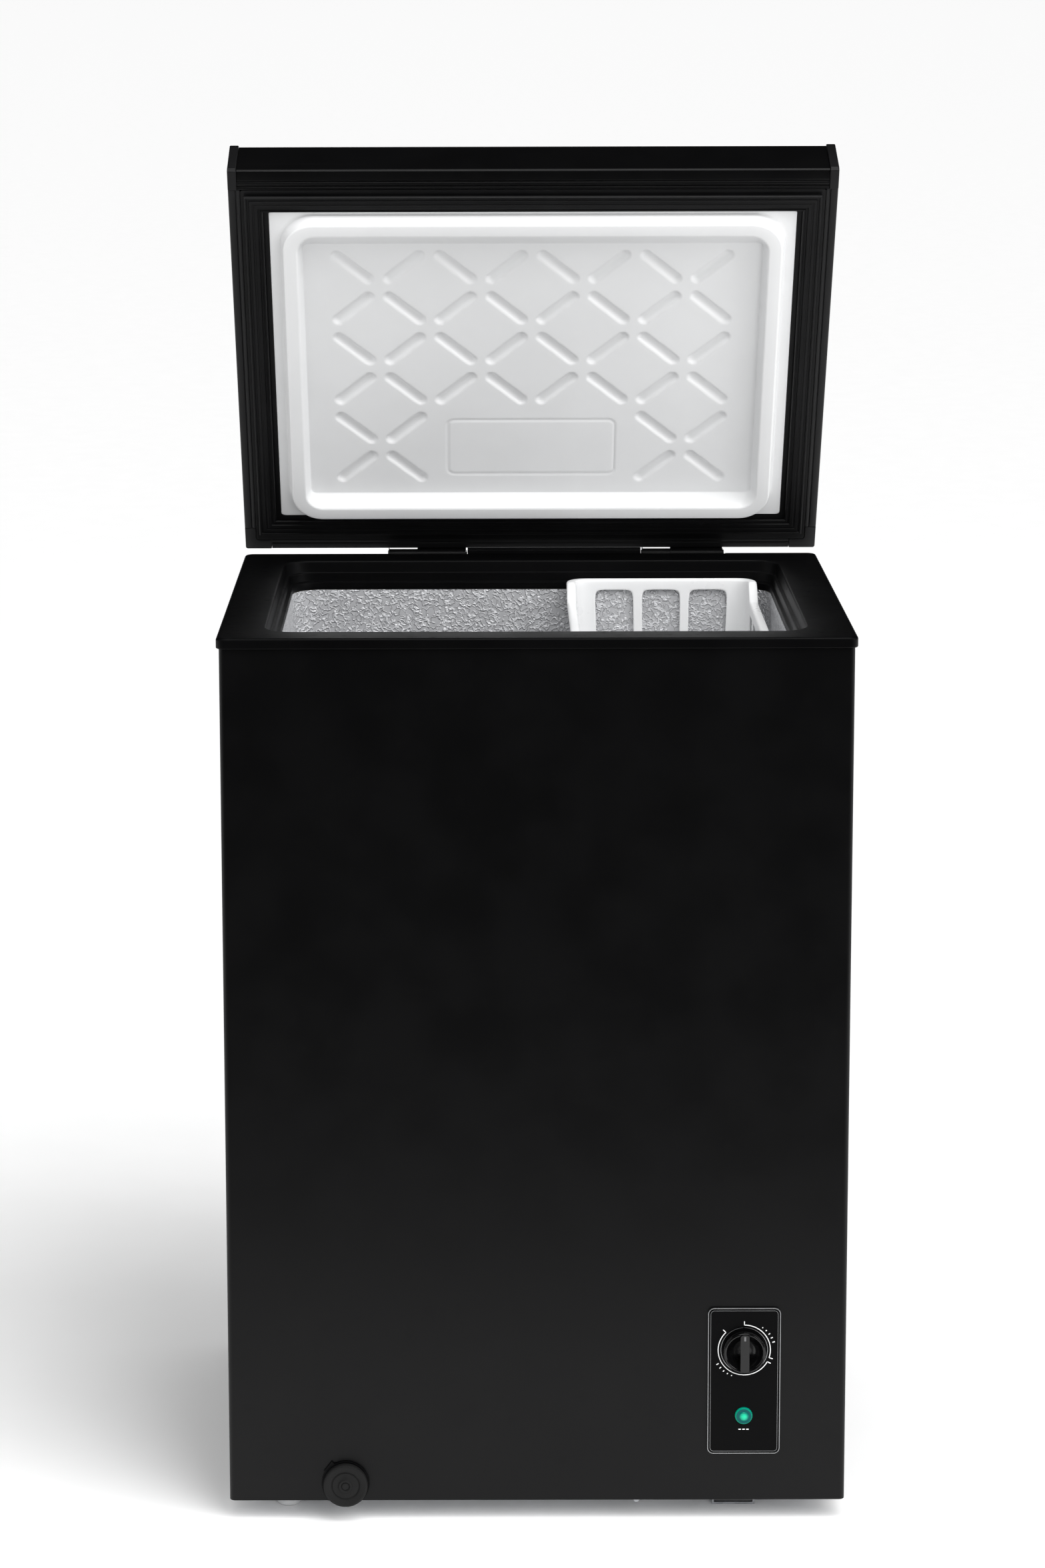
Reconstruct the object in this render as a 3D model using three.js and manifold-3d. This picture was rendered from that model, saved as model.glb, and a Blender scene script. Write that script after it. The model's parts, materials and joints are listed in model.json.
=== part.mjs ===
// Small chest freezer with its lid raised, a storage basket hung in the rim and the compressor
// under a step in the floor of the well.
// Millimetres, +Z up. While it is being built, X runs right from the middle of the cabinet, Y runs
// back from the face of the rim, and Z runs up from the floor. The finished group is then moved so
// that its origin is the middle of its footprint on the floor.

import * as THREE from "three";
import { mergeVertices } from "three/addons/utils/BufferGeometryUtils.js";
import Module from "manifold-3d";

const wasm = await Module();
wasm.setup();

// ---------------------------------------------------------------- driving dimensions

// Cabinet
const rimWidth = 545;
const rimDepth = 410;
const rimTop = 790;
const footHeight = 18;
const rimOverhang = 2.5;
const rimFaceHeight = 9.5;
const steelSheet = 1;
const bodyHoleInset = 6;
const cabinetCornerRadius = 6;
const fit = 0.3;
const cutMargin = 20;

// Well and collar
const collarSideWidth = 40.5;
const collarFrontWidth = 30;
const collarRearWidth = 40;
const collarWall = 2.5;
const collarDepth = 26;
const upperStepDrop = 11;
const basketLedgeDrop = 19;
const wellSideWall = 48.5;
const wellFrontWall = 45;
const wellRearWall = 48;
const wellFloor = 62;
const wellCornerRadius = 26;
const linerSheet = 0.8;
const collarCornerRadius = 24;
const collarLedge = { side: 5, front: 8, rear: 3 };

// Compressor compartment
const compartmentWidth = 185;
const compartmentHeight = 214;
const compartmentWall = 35;
const basePlateThickness = 1.5;
const basePlateWidth = 173;
const hemRadius = 2.6;
const compressorRadius = 60;
const compressorHeight = 128;
const compressorRear = 150;
const grommetHeight = 12;
const grommetRadius = 9;
const mountSpacing = 118;
const ventCoverThickness = 2;
const ventSlotHeight = 6;
const ventSlotPitch = 20;
const ventSlotFromSide = 26;
const glandRadius = 8;
const glandFromSide = 34;
const footBarInset = 18;
const footBarSheet = 3;
const relayWidth = 48;
const relayDepth = 21;
const relayHeight = 50;
const relayRise = 24;
const relayGap = 3;

// Lid
const openAngle = 62;
const lidGap = 5;
const lidThickness = 49;
const lidLength = 425;
const lidRearStandoff = 2;
const trimFace = 10.7;
const trimWall = 2.2;
const lidLinerSheet = 1.5;
const flangeSide = 10;
const flangeFront = 3;
const flangeRear = 3.5;
const ridgeHeight = 15;
const ridgeWidth = 12.5;
const ridgeOuterSlope = 2.5;
const ridgeInnerSlope = 7.5;
const ridgeRimClearance = 5;
const ridgeFrontClearance = 2;
const ridgeRearClearance = 2;
const gasketWidth = 17;
const gasketInset = 13.7;
const gasketRearInset = 19;
const gasketFrontInset = 24;
const gasketHeight = 4.2;
const handleDepth = 19;
const handleLean = 3.5;
const handleWall = 2;
const endCapWidth = 8;
const endCapReveal = 1.5;
const cornerCapArm = 25;

// Hinges
const pivotBehindRim = 4;
const pivotBelowRim = 2;
const knuckleRadius = 5.5;
const pinRadius = 2.5;
const runningGap = 0.1;
const leafThickness = 2.5;
const lowerLeafDrop = 88;
const upperLeafRise = 38;
const hingeLeft = { from: -135, split: -107.7, to: -61.5 };
const hingeRight = { from: 107, split: 134, to: 184 };
const springRadius = 5;
const springWire = 0.9;
const springTurns = 6;
const springShelfWidth = 24;
const springShelfSheet = 2;
const pinReveal = 1.2;

// Basket
const basketSideGap = 12;
const basketWidth = 179;
const basketDepth = 186;
const basketWall = 2.2;
const basketLip = 4.7;
const basketTaper = 9;
const basketWindow = 36.6;
const basketBar = 9.2;
const basketWellGap = 2;
const basketSideFlange = 3;
const basketWindowDrop = 12.5;
const basketEndSpare = 30;
const basketWindowHeight = 76;
const dipStart = 18;
const dipSlope = 14;
const dipDepth = 16;

// Control panel
const panelFromSide = 89.3;
const panelBottom = 62.8;
const panelWidth = 60.6;
const panelHeight = 130.8;
const panelThickness = 1.6;
const bezelWidth = 1.1;
const knobRadius = 18.5;
const knobDepth = 13;
const knobZ = 156.8;
const lampRadius = 7.7;
const lampZ = 96.7;
const spindleRadius = 3;
const panelCorner = 4;
const knobSkirt = 4;
const knobGripWidth = 8;
const knobGripOverlap = 1;
const thermostatWidth = 34;
const thermostatHeight = 42;
const thermostatDepth = 34;
const lampHolderDepth = 18;

// Drain
const drainFromSide = 102;
const drainZ = 34;
const drainPlugRadius = 19.5;
const drainBoreRadius = 8;
const drainPipeWall = 2;
const drainRun = 82;

// ---------------------------------------------------------------- worked-out places

const half = rimWidth / 2;
const cabinetHalf = half - rimOverhang;
const cabinetFront = rimOverhang;
const cabinetRear = rimDepth - rimOverhang;
const cabinetBottom = footHeight;
const skirtBottom = rimTop - rimFaceHeight;
const insideHalf = cabinetHalf - steelSheet - fit;
const insideFront = cabinetFront + steelSheet + fit;
const insideRear = cabinetRear - steelSheet - fit;
const linerTop = rimTop - collarDepth - fit;
const ledgeZ = rimTop - basketLedgeDrop;
const wellHalf = half - wellSideWall;
const wellBack = rimDepth - wellRearWall;
const basketRight = wellHalf - basketSideGap;
const basketLeft = basketRight - basketWidth;
const panelX = cabinetHalf - panelFromSide;
const drainX = -(cabinetHalf - drainFromSide);
const compartmentLeft = cabinetHalf - compartmentWidth;
const compartmentTop = cabinetBottom + compartmentHeight;
const stepTop = compartmentTop + compartmentWall;
const stepLeft = compartmentLeft - compartmentWall;
const basePlateTop = cabinetBottom - fit;
const basePlateBottom = basePlateTop - basePlateThickness;
const basePlateRight = compartmentLeft + basePlateWidth;
const compressorX = compartmentLeft + basePlateWidth / 2;
const compressorY = rimDepth - compressorRear;
const compressorBottom = basePlateTop + fit + grommetHeight + fit;
const lidPlane = rimTop + lidGap;
const lidTop = lidPlane + lidThickness;
const lidRear = rimDepth + lidRearStandoff;
const lidFront = lidRear - lidLength;
const pivotY = rimDepth + pivotBehindRim;
const pivotZ = rimTop - pivotBelowRim;

// ---------------------------------------------------------------- shape helpers

const cornerSteps = 3;

function roundedLoop({ x0, x1, y0, y1, r }) {
  const centres = [[x1 - r, y0 + r, -90], [x1 - r, y1 - r, 0], [x0 + r, y1 - r, 90], [x0 + r, y0 + r, 180]];
  const points = [];
  for (const [cx, cy, start] of centres) {
    for (let step = 0; step <= cornerSteps; step += 1) {
      const angle = THREE.MathUtils.degToRad(start + (90 * step) / cornerSteps);
      points.push([cx + r * Math.cos(angle), cy + r * Math.sin(angle)]);
    }
  }
  return points;
}

function signedVolume(positions, index) {
  let volume = 0;
  const [a, b, c] = [new THREE.Vector3(), new THREE.Vector3(), new THREE.Vector3()];
  for (let i = 0; i < index.length; i += 3) {
    a.fromArray(positions, 3 * index[i]);
    b.fromArray(positions, 3 * index[i + 1]);
    c.fromArray(positions, 3 * index[i + 2]);
    volume += a.dot(b.cross(c));
  }
  return volume;
}

// Skin over a run of rounded rectangles, one above, inside or outside the last. A ring joins the
// last one back to the first, and an open run is capped at both ends.
function stack(sections, ring = false) {
  const loops = sections.map((section) => roundedLoop(section));
  const count = loops[0].length;
  const positions = loops.flatMap((loop, i) => loop.flatMap(([x, y]) => [x, y, sections[i].z]));
  const index = [];
  const bands = ring ? sections.length : sections.length - 1;
  for (let band = 0; band < bands; band += 1) {
    const low = band * count;
    const high = ((band + 1) % sections.length) * count;
    for (let i = 0; i < count; i += 1) {
      const next = (i + 1) % count;
      index.push(low + i, low + next, high + next, low + i, high + next, high + i);
    }
  }
  if (!ring) {
    const last = (sections.length - 1) * count;
    for (let i = 1; i < count - 1; i += 1) {
      index.push(0, i + 1, i);
      index.push(last, last + i, last + i + 1);
    }
  }
  if (signedVolume(positions, index) < 0) index.reverse();
  const geometry = new THREE.BufferGeometry();
  geometry.setAttribute("position", new THREE.Float32BufferAttribute(positions, 3));
  geometry.setIndex(index);
  return geometry;
}

function block(x0, x1, y0, y1, z0, z1) {
  const geometry = new THREE.BoxGeometry(x1 - x0, y1 - y0, z1 - z0);
  return geometry.translate((x0 + x1) / 2, (y0 + y1) / 2, (z0 + z1) / 2);
}

function outline(points, holes = []) {
  const shape = new THREE.Shape(points.map(([a, b]) => new THREE.Vector2(a, b)));
  shape.holes = holes.map((hole) => new THREE.Path(hole.map(([a, b]) => new THREE.Vector2(a, b))));
  return shape;
}

function circlePoints(a, b, radius, sides, start = 0, sweep = 360) {
  const whole = sweep === 360;
  return Array.from({ length: whole ? sides : sides + 1 }, (_, i) => {
    const angle = THREE.MathUtils.degToRad(start + (sweep * i) / sides);
    return [a + radius * Math.cos(angle), b + radius * Math.sin(angle)];
  });
}

// An outline drawn in Y and Z, run from one X to another.
function alongX(points, x0, x1, holes = []) {
  const geometry = new THREE.ExtrudeGeometry(outline(points, holes),
    { depth: x1 - x0, bevelEnabled: false });
  const axes = [new THREE.Vector3(0, 1, 0), new THREE.Vector3(0, 0, 1), new THREE.Vector3(1, 0, 0)];
  return geometry.applyMatrix4(new THREE.Matrix4().makeBasis(...axes)).translate(x0, 0, 0);
}

// An outline drawn in X and Z, run forward from the rear Y to the front Y.
function facingFront(points, rearY, frontY, holes = []) {
  const shape = outline(points, holes);
  const geometry = new THREE.ExtrudeGeometry(shape, { depth: rearY - frontY, bevelEnabled: false });
  return geometry.rotateX(Math.PI / 2).translate(0, rearY, 0);
}

// An outline drawn in X and Y, run up from one Z to another.
function upright(points, z0, z1, holes = []) {
  const shape = outline(points, holes);
  const geometry = new THREE.ExtrudeGeometry(shape, { depth: z1 - z0, bevelEnabled: false });
  return geometry.translate(0, 0, z0);
}

function rod(radius, x0, x1, y, z, sides = 16) {
  return alongX(circlePoints(y, z, radius, sides), x0, x1);
}

function turned(profile, sides = 24) {
  const points = profile.map(([radius, height]) => new THREE.Vector2(radius, height));
  return new THREE.LatheGeometry(points, sides).rotateX(Math.PI / 2);
}

// A turned piece whose height runs forward, towards -Y.
function turnedForward(profile, sides) {
  const points = profile.map(([radius, height]) => new THREE.Vector2(radius, height));
  return new THREE.LatheGeometry(points, sides).rotateX(Math.PI);
}

function pipe(points, radius, sides, steps, boreRadius = 0) {
  const path = new THREE.CatmullRomCurve3(points.map((p) => new THREE.Vector3(...p)), false, "centripetal");
  const holes = boreRadius > 0 ? [circlePoints(0, 0, boreRadius, sides)] : [];
  const shape = outline(circlePoints(0, 0, radius, sides), holes);
  return new THREE.ExtrudeGeometry(shape, { steps, extrudePath: path, bevelEnabled: false });
}

function toSolid(geometry) {
  const bare = geometry.clone();
  bare.deleteAttribute("normal");
  bare.deleteAttribute("uv");
  const merged = mergeVertices(bare, 1e-4);
  const vertProperties = new Float32Array(merged.attributes.position.array);
  const triVerts = new Uint32Array(merged.index.array);
  return new wasm.Manifold(new wasm.Mesh({ numProp: 3, vertProperties, triVerts }));
}

function toGeometry(solid) {
  const mesh = solid.getMesh();
  const geometry = new THREE.BufferGeometry();
  geometry.setAttribute("position", new THREE.Float32BufferAttribute(mesh.vertProperties, 3));
  geometry.setIndex(Array.from(mesh.triVerts));
  return geometry;
}

function join(...pieces) {
  return toGeometry(pieces.map(toSolid).reduce((whole, piece) => whole.add(piece)));
}

function cut(base, ...tools) {
  return toGeometry(tools.map(toSolid).reduce((rest, tool) => rest.subtract(tool), toSolid(base)));
}

// ---------------------------------------------------------------- finishes

const finishes = {
  blackSteel: { color: 0x17181a, roughness: 0.42, metalness: 0.3 },
  blackPlastic: { color: 0x141416, roughness: 0.5, metalness: 0 },
  rubber: { color: 0x101012, roughness: 0.75, metalness: 0 },
  whitePlastic: { color: 0xf2f3f4, roughness: 0.35, metalness: 0 },
  aluminium: { color: 0xb4b6ba, roughness: 0.45, metalness: 0.9 },
  foam: { color: 0xe3cf92, roughness: 0.9, metalness: 0 },
  zincSteel: { color: 0x9a9da1, roughness: 0.4, metalness: 0.85 },
  greyPlastic: { color: 0xb9babc, roughness: 0.55, metalness: 0 },
  copper: { color: 0xb3693c, roughness: 0.35, metalness: 0.95 },
  panelBlack: { color: 0x08080a, roughness: 0.22, metalness: 0 },
  lampGreen: { color: 0x1fd6b2, roughness: 0.15, metalness: 0 },
};

const freezer = new THREE.Group();
const lidSwing = new THREE.Group();
const lid = new THREE.Group();
lidSwing.position.set(0, pivotY, pivotZ);
lidSwing.rotation.x = -THREE.MathUtils.degToRad(openAngle);
lid.position.set(0, -pivotY, -pivotZ);
lidSwing.add(lid);
freezer.add(lidSwing);

function addPiece(name, finish, geometry, owner = freezer) {
  const mesh = new THREE.Mesh(geometry, new THREE.MeshStandardMaterial(finishes[finish]));
  mesh.name = name;
  owner.add(mesh);
}

// ---------------------------------------------------------------- cabinet shell

function buildOuterWrap() {
  const side = (radius, outer) => {
    const r = Math.max(radius, 0.5);
    const left = circlePoints(-outer + r, cabinetFront + (cabinetHalf - outer) + r, r, 3, 180, 90);
    const right = circlePoints(outer - r, cabinetFront + (cabinetHalf - outer) + r, r, 3, 270, 90);
    return [[-outer, cabinetRear], ...left, ...right, [outer, cabinetRear]];
  };
  const outer = side(cabinetCornerRadius, cabinetHalf);
  const inner = side(cabinetCornerRadius - steelSheet, cabinetHalf - steelSheet);
  const shell = upright([...outer, ...inner.reverse()], cabinetBottom, skirtBottom - fit);
  const behindPanel = panelWidth / 2 - bodyHoleInset;
  const panelHole = block(panelX - behindPanel, panelX + behindPanel, -cutMargin, insideFront,
    panelBottom + bodyHoleInset, panelBottom + panelHeight - bodyHoleInset);
  const pipeHole = rodForward(drainBoreRadius + drainPipeWall + fit, drainX, drainZ, -cutMargin,
    insideFront);
  addPiece("outer_wrap", "blackSteel", cut(shell, panelHole, pipeHole));
}

function rodForward(radius, x, z, frontY, rearY, sides = 20) {
  return facingFront(circlePoints(x, z, radius, sides), rearY, frontY);
}

function buildRearPanel() {
  const left = -insideHalf;
  const right = insideHalf;
  const low = cabinetBottom + fit;
  const coverTop = compartmentTop + fit;
  const coverLeft = compartmentLeft - fit;
  const points = [[left, low], [coverLeft, low], [coverLeft, coverTop], [right, coverTop],
    [right, skirtBottom - fit], [left, skirtBottom - fit]];
  addPiece("rear_panel", "zincSteel", facingFront(points, cabinetRear, cabinetRear - steelSheet));
}

function buildBottomPan() {
  const edge = { x0: -insideHalf, x1: compartmentLeft - fit, y0: insideFront, y1: insideRear,
    r: cabinetCornerRadius };
  const low = cabinetBottom + fit;
  const pan = stack([{ ...edge, z: low }, { ...edge, z: low + steelSheet }]);
  addPiece("bottom_pan", "zincSteel", pan);
}

// The space inside the liner, grown outward by a margin and left open above.
function wellShape(margin, top) {
  const y0 = wellFrontWall - margin;
  const y1 = wellBack + margin;
  const r = wellCornerRadius + margin;
  const x0 = -wellHalf - margin;
  const upper = { x0, x1: wellHalf + margin, y0, y1, r };
  const lower = { x0, x1: stepLeft + margin, y0, y1, r };
  return join(
    stack([{ ...upper, z: stepTop - margin }, { ...upper, z: top }]),
    stack([{ ...lower, z: wellFloor - margin }, { ...lower, z: top }]),
  );
}

function drainPath() {
  const end = insideFront + drainRun;
  return [[drainX, insideFront, drainZ], [drainX, end - 26, drainZ], [drainX, end - 8, drainZ + 4],
    [drainX, end, wellFloor - 12], [drainX, end, wellFloor - linerSheet - fit]];
}

function buildInsulation() {
  const body = { x0: -insideHalf, x1: insideHalf, y0: insideFront, y1: insideRear, r: cabinetCornerRadius };
  const low = cabinetBottom + steelSheet + 2 * fit;
  const high = rimTop - collarWall - fit;
  const foam = stack([{ ...body, z: low }, { ...body, z: high }]);
  const collarHalf = half - collarSideWidth + collarWall + fit;
  const mouth = {
    x0: -collarHalf, x1: collarHalf, y0: collarFrontWidth - collarWall - fit,
    y1: rimDepth - collarRearWidth + collarWall + fit, r: collarCornerRadius,
  };
  const mouthCut = stack([{ ...mouth, z: linerTop - fit }, { ...mouth, z: high + cutMargin }]);
  const compartment = block(compartmentLeft, half, -cutMargin, rimDepth, 0, compartmentTop);
  const pipeCut = pipe(drainPath(), drainBoreRadius + drainPipeWall + fit, 12, 12);
  addPiece("cabinet_insulation", "foam",
    cut(foam, wellShape(linerSheet + fit, high + cutMargin), mouthCut, compartment, pipeCut));
}

function buildLiner() {
  const drainEnd = insideFront + drainRun;
  const hole = upright(circlePoints(drainX, drainEnd, drainBoreRadius + fit, 16),
    wellFloor - cutMargin, wellFloor + cutMargin / 2);
  const shell = cut(wellShape(linerSheet, linerTop), wellShape(0, linerTop + cutMargin), hole);
  addPiece("inner_liner", "aluminium", shell);
}

function hingeNotch(hinge) {
  return block(hinge.from - 1, hinge.to + 1, insideRear + fit, rimDepth + cutMargin,
    skirtBottom - cutMargin, rimTop + cutMargin);
}

function buildRimCollar() {
  const at = (side, front, rear, r, z) => ({ x0: -side, x1: side, y0: front, y1: rear, r, z });
  const mouth = half - collarSideWidth;
  const front = collarFrontWidth;
  const rear = rimDepth - collarRearWidth;
  const r = collarCornerRadius;
  const upper = rimTop - upperStepDrop;
  const lowest = linerTop + fit;
  const wall = collarWall;
  const wellR = wellCornerRadius;
  const ring = [
    at(half, 0, rimDepth, 8, skirtBottom),
    at(half, 0, rimDepth, 8, rimTop - 1),
    at(half - 1, 1, rimDepth - 1, 7, rimTop),
    at(mouth, front, rear, r, rimTop),
    at(mouth - 1.5, front + 3.5, rear - 2, r, upper),
    at(mouth - 4.5, front + 7.5, rear - 3, r, upper),
    at(mouth - collarLedge.side, front + collarLedge.front, rear - collarLedge.rear, r, ledgeZ),
    at(wellHalf, wellFrontWall, wellBack, wellR, ledgeZ),
    at(wellHalf, wellFrontWall, wellBack, wellR, lowest),
    at(wellHalf + wall, wellFrontWall - wall, wellBack + wall, wellR + wall, lowest),
    at(wellHalf + wall, wellFrontWall - wall, wellBack + wall, wellR + wall, ledgeZ - wall),
    at(mouth, front + 4.5, rear, r, ledgeZ - wall),
    at(mouth + wall, front - wall, rear + wall, r + wall, rimTop - wall),
    at(cabinetHalf - fit, cabinetFront + fit, cabinetRear - fit, 5, rimTop - wall),
    at(cabinetHalf - fit, cabinetFront + fit, cabinetRear - fit, 5, skirtBottom),
  ];
  addPiece("rim_collar", "blackPlastic",
    cut(stack(ring, true), hingeNotch(hingeLeft), hingeNotch(hingeRight)));
}

// ---------------------------------------------------------------- compressor compartment

function buildBasePlate() {
  const left = compartmentLeft;
  const hemCentre = basePlateTop - hemRadius;
  const hem = circlePoints(left + hemRadius, hemCentre, hemRadius, 8, 90, 225);
  const flangeRise = 14;
  const points = [...hem, [left + 2.4 * hemRadius, basePlateBottom],
    [basePlateRight, basePlateBottom], [basePlateRight, basePlateTop + flangeRise],
    [basePlateRight - basePlateThickness, basePlateTop + flangeRise],
    [basePlateRight - basePlateThickness, basePlateTop]];
  const rear = cabinetRear - ventCoverThickness - fit;
  addPiece("compressor_base", "zincSteel", facingFront(points, rear, insideFront + 6));
}

function buildCompressor() {
  const low = compressorBottom;
  const r = compressorRadius;
  const h = compressorHeight;
  const can = turned([[0, 0], [r * 0.75, 0], [r * 0.97, 10], [r, 30], [r, h * 0.52],
    [r * 1.03, h * 0.53], [r * 1.03, h * 0.57], [r, h * 0.58], [r * 0.96, h * 0.78],
    [r * 0.8, h * 0.92], [r * 0.4, h], [0, h]], 24);
  const reach = mountSpacing / 2 + grommetRadius;
  const footBar = (y) => block(compressorX - reach, compressorX + reach, y - grommetRadius,
    y + grommetRadius, low, low + footBarSheet);
  const bar = mountSpacing / 2 - footBarInset;
  addPiece("compressor", "blackPlastic",
    join(can.translate(compressorX, compressorY, low), footBar(compressorY - bar),
      footBar(compressorY + bar)));
  let number = 1;
  for (const dx of [-mountSpacing / 2, mountSpacing / 2]) {
    for (const dy of [-bar, bar]) {
      const grommet = turned([[0, 0], [grommetRadius, 0], [grommetRadius, 4], [grommetRadius - 2, 6],
        [grommetRadius, 8], [grommetRadius, grommetHeight], [0, grommetHeight]], 12);
      addPiece(`compressor_grommet_${number}`, "rubber",
        grommet.translate(compressorX + dx, compressorY + dy, basePlateTop + fit));
      number += 1;
    }
  }
  const relayRear = compressorY - r - relayGap;
  addPiece("compressor_relay_cover", "blackPlastic",
    block(compressorX - relayWidth / 2, compressorX + relayWidth / 2, relayRear - relayDepth, relayRear,
      low + relayRise, low + relayRise + relayHeight));
}

function buildPlumbing() {
  const wallX = compartmentLeft + 1;
  const topZ = compressorBottom + compressorHeight * 0.72;
  const start = compressorX - compressorRadius - 4.5;
  const y = compressorY;
  addPiece("suction_tube", "copper", pipe([[start, y + 14, topZ], [start - 8, y + 26, topZ + 4],
    [start - 9, y + 40, topZ + 26], [wallX + 8, y + 44, topZ + 40], [wallX, y + 44, topZ + 40]], 3, 8, 20));
  addPiece("discharge_tube", "copper", pipe([[start, y - 14, topZ - 30], [start - 8, y - 30, topZ - 30],
    [wallX + 8, y - 56, topZ - 20], [wallX, y - 56, topZ - 20]], 2.4, 8, 16));
  const drier = turned([[0, 0], [3, 0], [3, 6], [8, 12], [8, 62], [3, 68], [3, 74], [0, 74]], 14);
  addPiece("filter_drier", "copper", drier.translate(compartmentLeft + 24, compressorY + 84, topZ - 34));
}

function buildRearCover() {
  const x0 = compartmentLeft + fit;
  const x1 = insideHalf;
  const z0 = cabinetBottom + fit;
  const plate = block(x0, x1, cabinetRear - ventCoverThickness, cabinetRear, z0, compartmentTop - fit);
  const slots = [];
  for (let z = z0 + 3 * ventSlotPitch; z < compartmentTop - 24; z += ventSlotPitch) {
    slots.push(block(x0 + ventSlotFromSide, x1 - ventSlotFromSide, cabinetRear - cutMargin,
      cabinetRear + cutMargin, z, z + ventSlotHeight));
  }
  const glandX = x1 - glandFromSide;
  const glandZ = z0 + 28;
  const hole = rodForward(glandRadius + fit, glandX, glandZ, cabinetRear - cutMargin,
    cabinetRear + cutMargin, 16);
  addPiece("rear_vent_cover", "blackSteel", cut(plate, hole, ...slots));
  const gland = facingFront(circlePoints(glandX, glandZ, glandRadius, 16), cabinetRear + fit,
    cabinetRear - 12);
  const flange = facingFront(circlePoints(glandX, glandZ, glandRadius + 4, 16), cabinetRear + fit + 4,
    cabinetRear + fit);
  const bore = facingFront(circlePoints(glandX, glandZ, 3.6, 12), cabinetRear + cutMargin, cabinetRear - 8);
  addPiece("mains_inlet_gland", "blackPlastic", cut(join(gland, flange), bore));
}

// ---------------------------------------------------------------- controls and drain

function roundedFace(x, z0, z1, width, radius) {
  return roundedLoop({ x0: x - width / 2, x1: x + width / 2, y0: z0, y1: z1, r: radius });
}

function buildControls() {
  const faceRear = cabinetFront - fit;
  const faceFront = faceRear - panelThickness;
  const panelTop = panelBottom + panelHeight;
  const face = roundedFace(panelX, panelBottom, panelTop, panelWidth, panelCorner);
  const holes = [circlePoints(panelX, knobZ, spindleRadius + 2 * fit, 16),
    circlePoints(panelX, lampZ, lampRadius + fit, 20)];
  addPiece("control_panel", "panelBlack", facingFront(face, faceRear, faceFront, holes));
  const ringIn = roundedFace(panelX, panelBottom - fit, panelTop + fit, panelWidth + 2 * fit,
    panelCorner + fit);
  const grow = bezelWidth + fit;
  const ringOut = roundedFace(panelX, panelBottom - grow, panelTop + grow, panelWidth + 2 * grow,
    panelCorner + grow);
  addPiece("control_bezel", "zincSteel", facingFront(ringOut, faceRear, faceFront - fit, [ringIn]));

  const bodyFront = faceRear + fit;
  addPiece("thermostat_body", "zincSteel",
    block(panelX - thermostatWidth / 2, panelX + thermostatWidth / 2, bodyFront,
      bodyFront + thermostatDepth, knobZ - thermostatHeight / 2, knobZ + thermostatHeight / 2));
  const spindleFront = faceFront - knobDepth + knobSkirt;
  addPiece("thermostat_spindle", "zincSteel", rodForward(spindleRadius, panelX, knobZ,
    spindleFront, bodyFront - fit, 14));
  const knobRear = faceFront - fit;
  const skirt = facingFront(circlePoints(panelX, knobZ, knobRadius, 28), knobRear, knobRear - knobSkirt);
  const grip = facingFront(
    roundedFace(panelX, knobZ - knobRadius + 1, knobZ + knobRadius - 1, knobGripWidth, 3),
    knobRear - knobSkirt + knobGripOverlap, knobRear - knobDepth);
  const socket = rodForward(spindleRadius + runningGap, panelX, knobZ, spindleFront - fit,
    cabinetFront, 14);
  addPiece("thermostat_knob", "blackPlastic", cut(join(skirt, grip), socket));

  const lens = turnedForward([[0, 0], [lampRadius, 0], [lampRadius, panelThickness + 1],
    [lampRadius * 0.8, panelThickness + 3], [lampRadius * 0.45, panelThickness + 4.2],
    [0, panelThickness + 4.6]], 20);
  addPiece("power_lamp", "lampGreen", lens.translate(panelX, faceRear, lampZ));
  addPiece("lamp_holder", "blackPlastic", rodForward(lampRadius, panelX, lampZ, faceRear + fit,
    faceRear + lampHolderDepth, 16));
}

function buildDrain() {
  const collarRadius = drainPlugRadius + 1.5;
  const collarFront = cabinetFront - fit - 1.5;
  const pipeRadius = drainBoreRadius + drainPipeWall;
  const tab = facingFront([[drainX - 19, drainZ + 12], [drainX - 12, drainZ + 5], [drainX - 6, drainZ + 14],
    [drainX - 12, drainZ + 21]], cabinetFront - fit, collarFront);
  const ring = facingFront(circlePoints(drainX, drainZ, collarRadius, 28), cabinetFront - fit, collarFront);
  const bore = rodForward(drainBoreRadius, drainX, drainZ, -cutMargin, cabinetFront + cutMargin, 16);
  addPiece("drain_collar", "blackPlastic", cut(join(ring, tab), bore));
  addPiece("drain_pipe", "greyPlastic", pipe(drainPath(), pipeRadius, 12, 12, drainBoreRadius));
  const plugRear = collarFront - fit;
  const disc = facingFront(circlePoints(drainX, drainZ, drainPlugRadius, 28), plugRear, plugRear - 7);
  const stem = rodForward(drainBoreRadius - 0.5, drainX, drainZ, plugRear - 3, insideFront - 0.5, 14);
  addPiece("drain_plug", "blackPlastic", join(disc, stem));
  const end = insideFront + drainRun;
  const stopper = turned([[0, 0], [12, 0], [12, 2], [9, 4], [5, 5], [5, 9], [7, 11], [5, 13], [0, 13]], 16);
  addPiece("drain_stopper", "greyPlastic", stopper.translate(drainX, end, wellFloor + fit));
}

// ---------------------------------------------------------------- feet and fasteners

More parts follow.
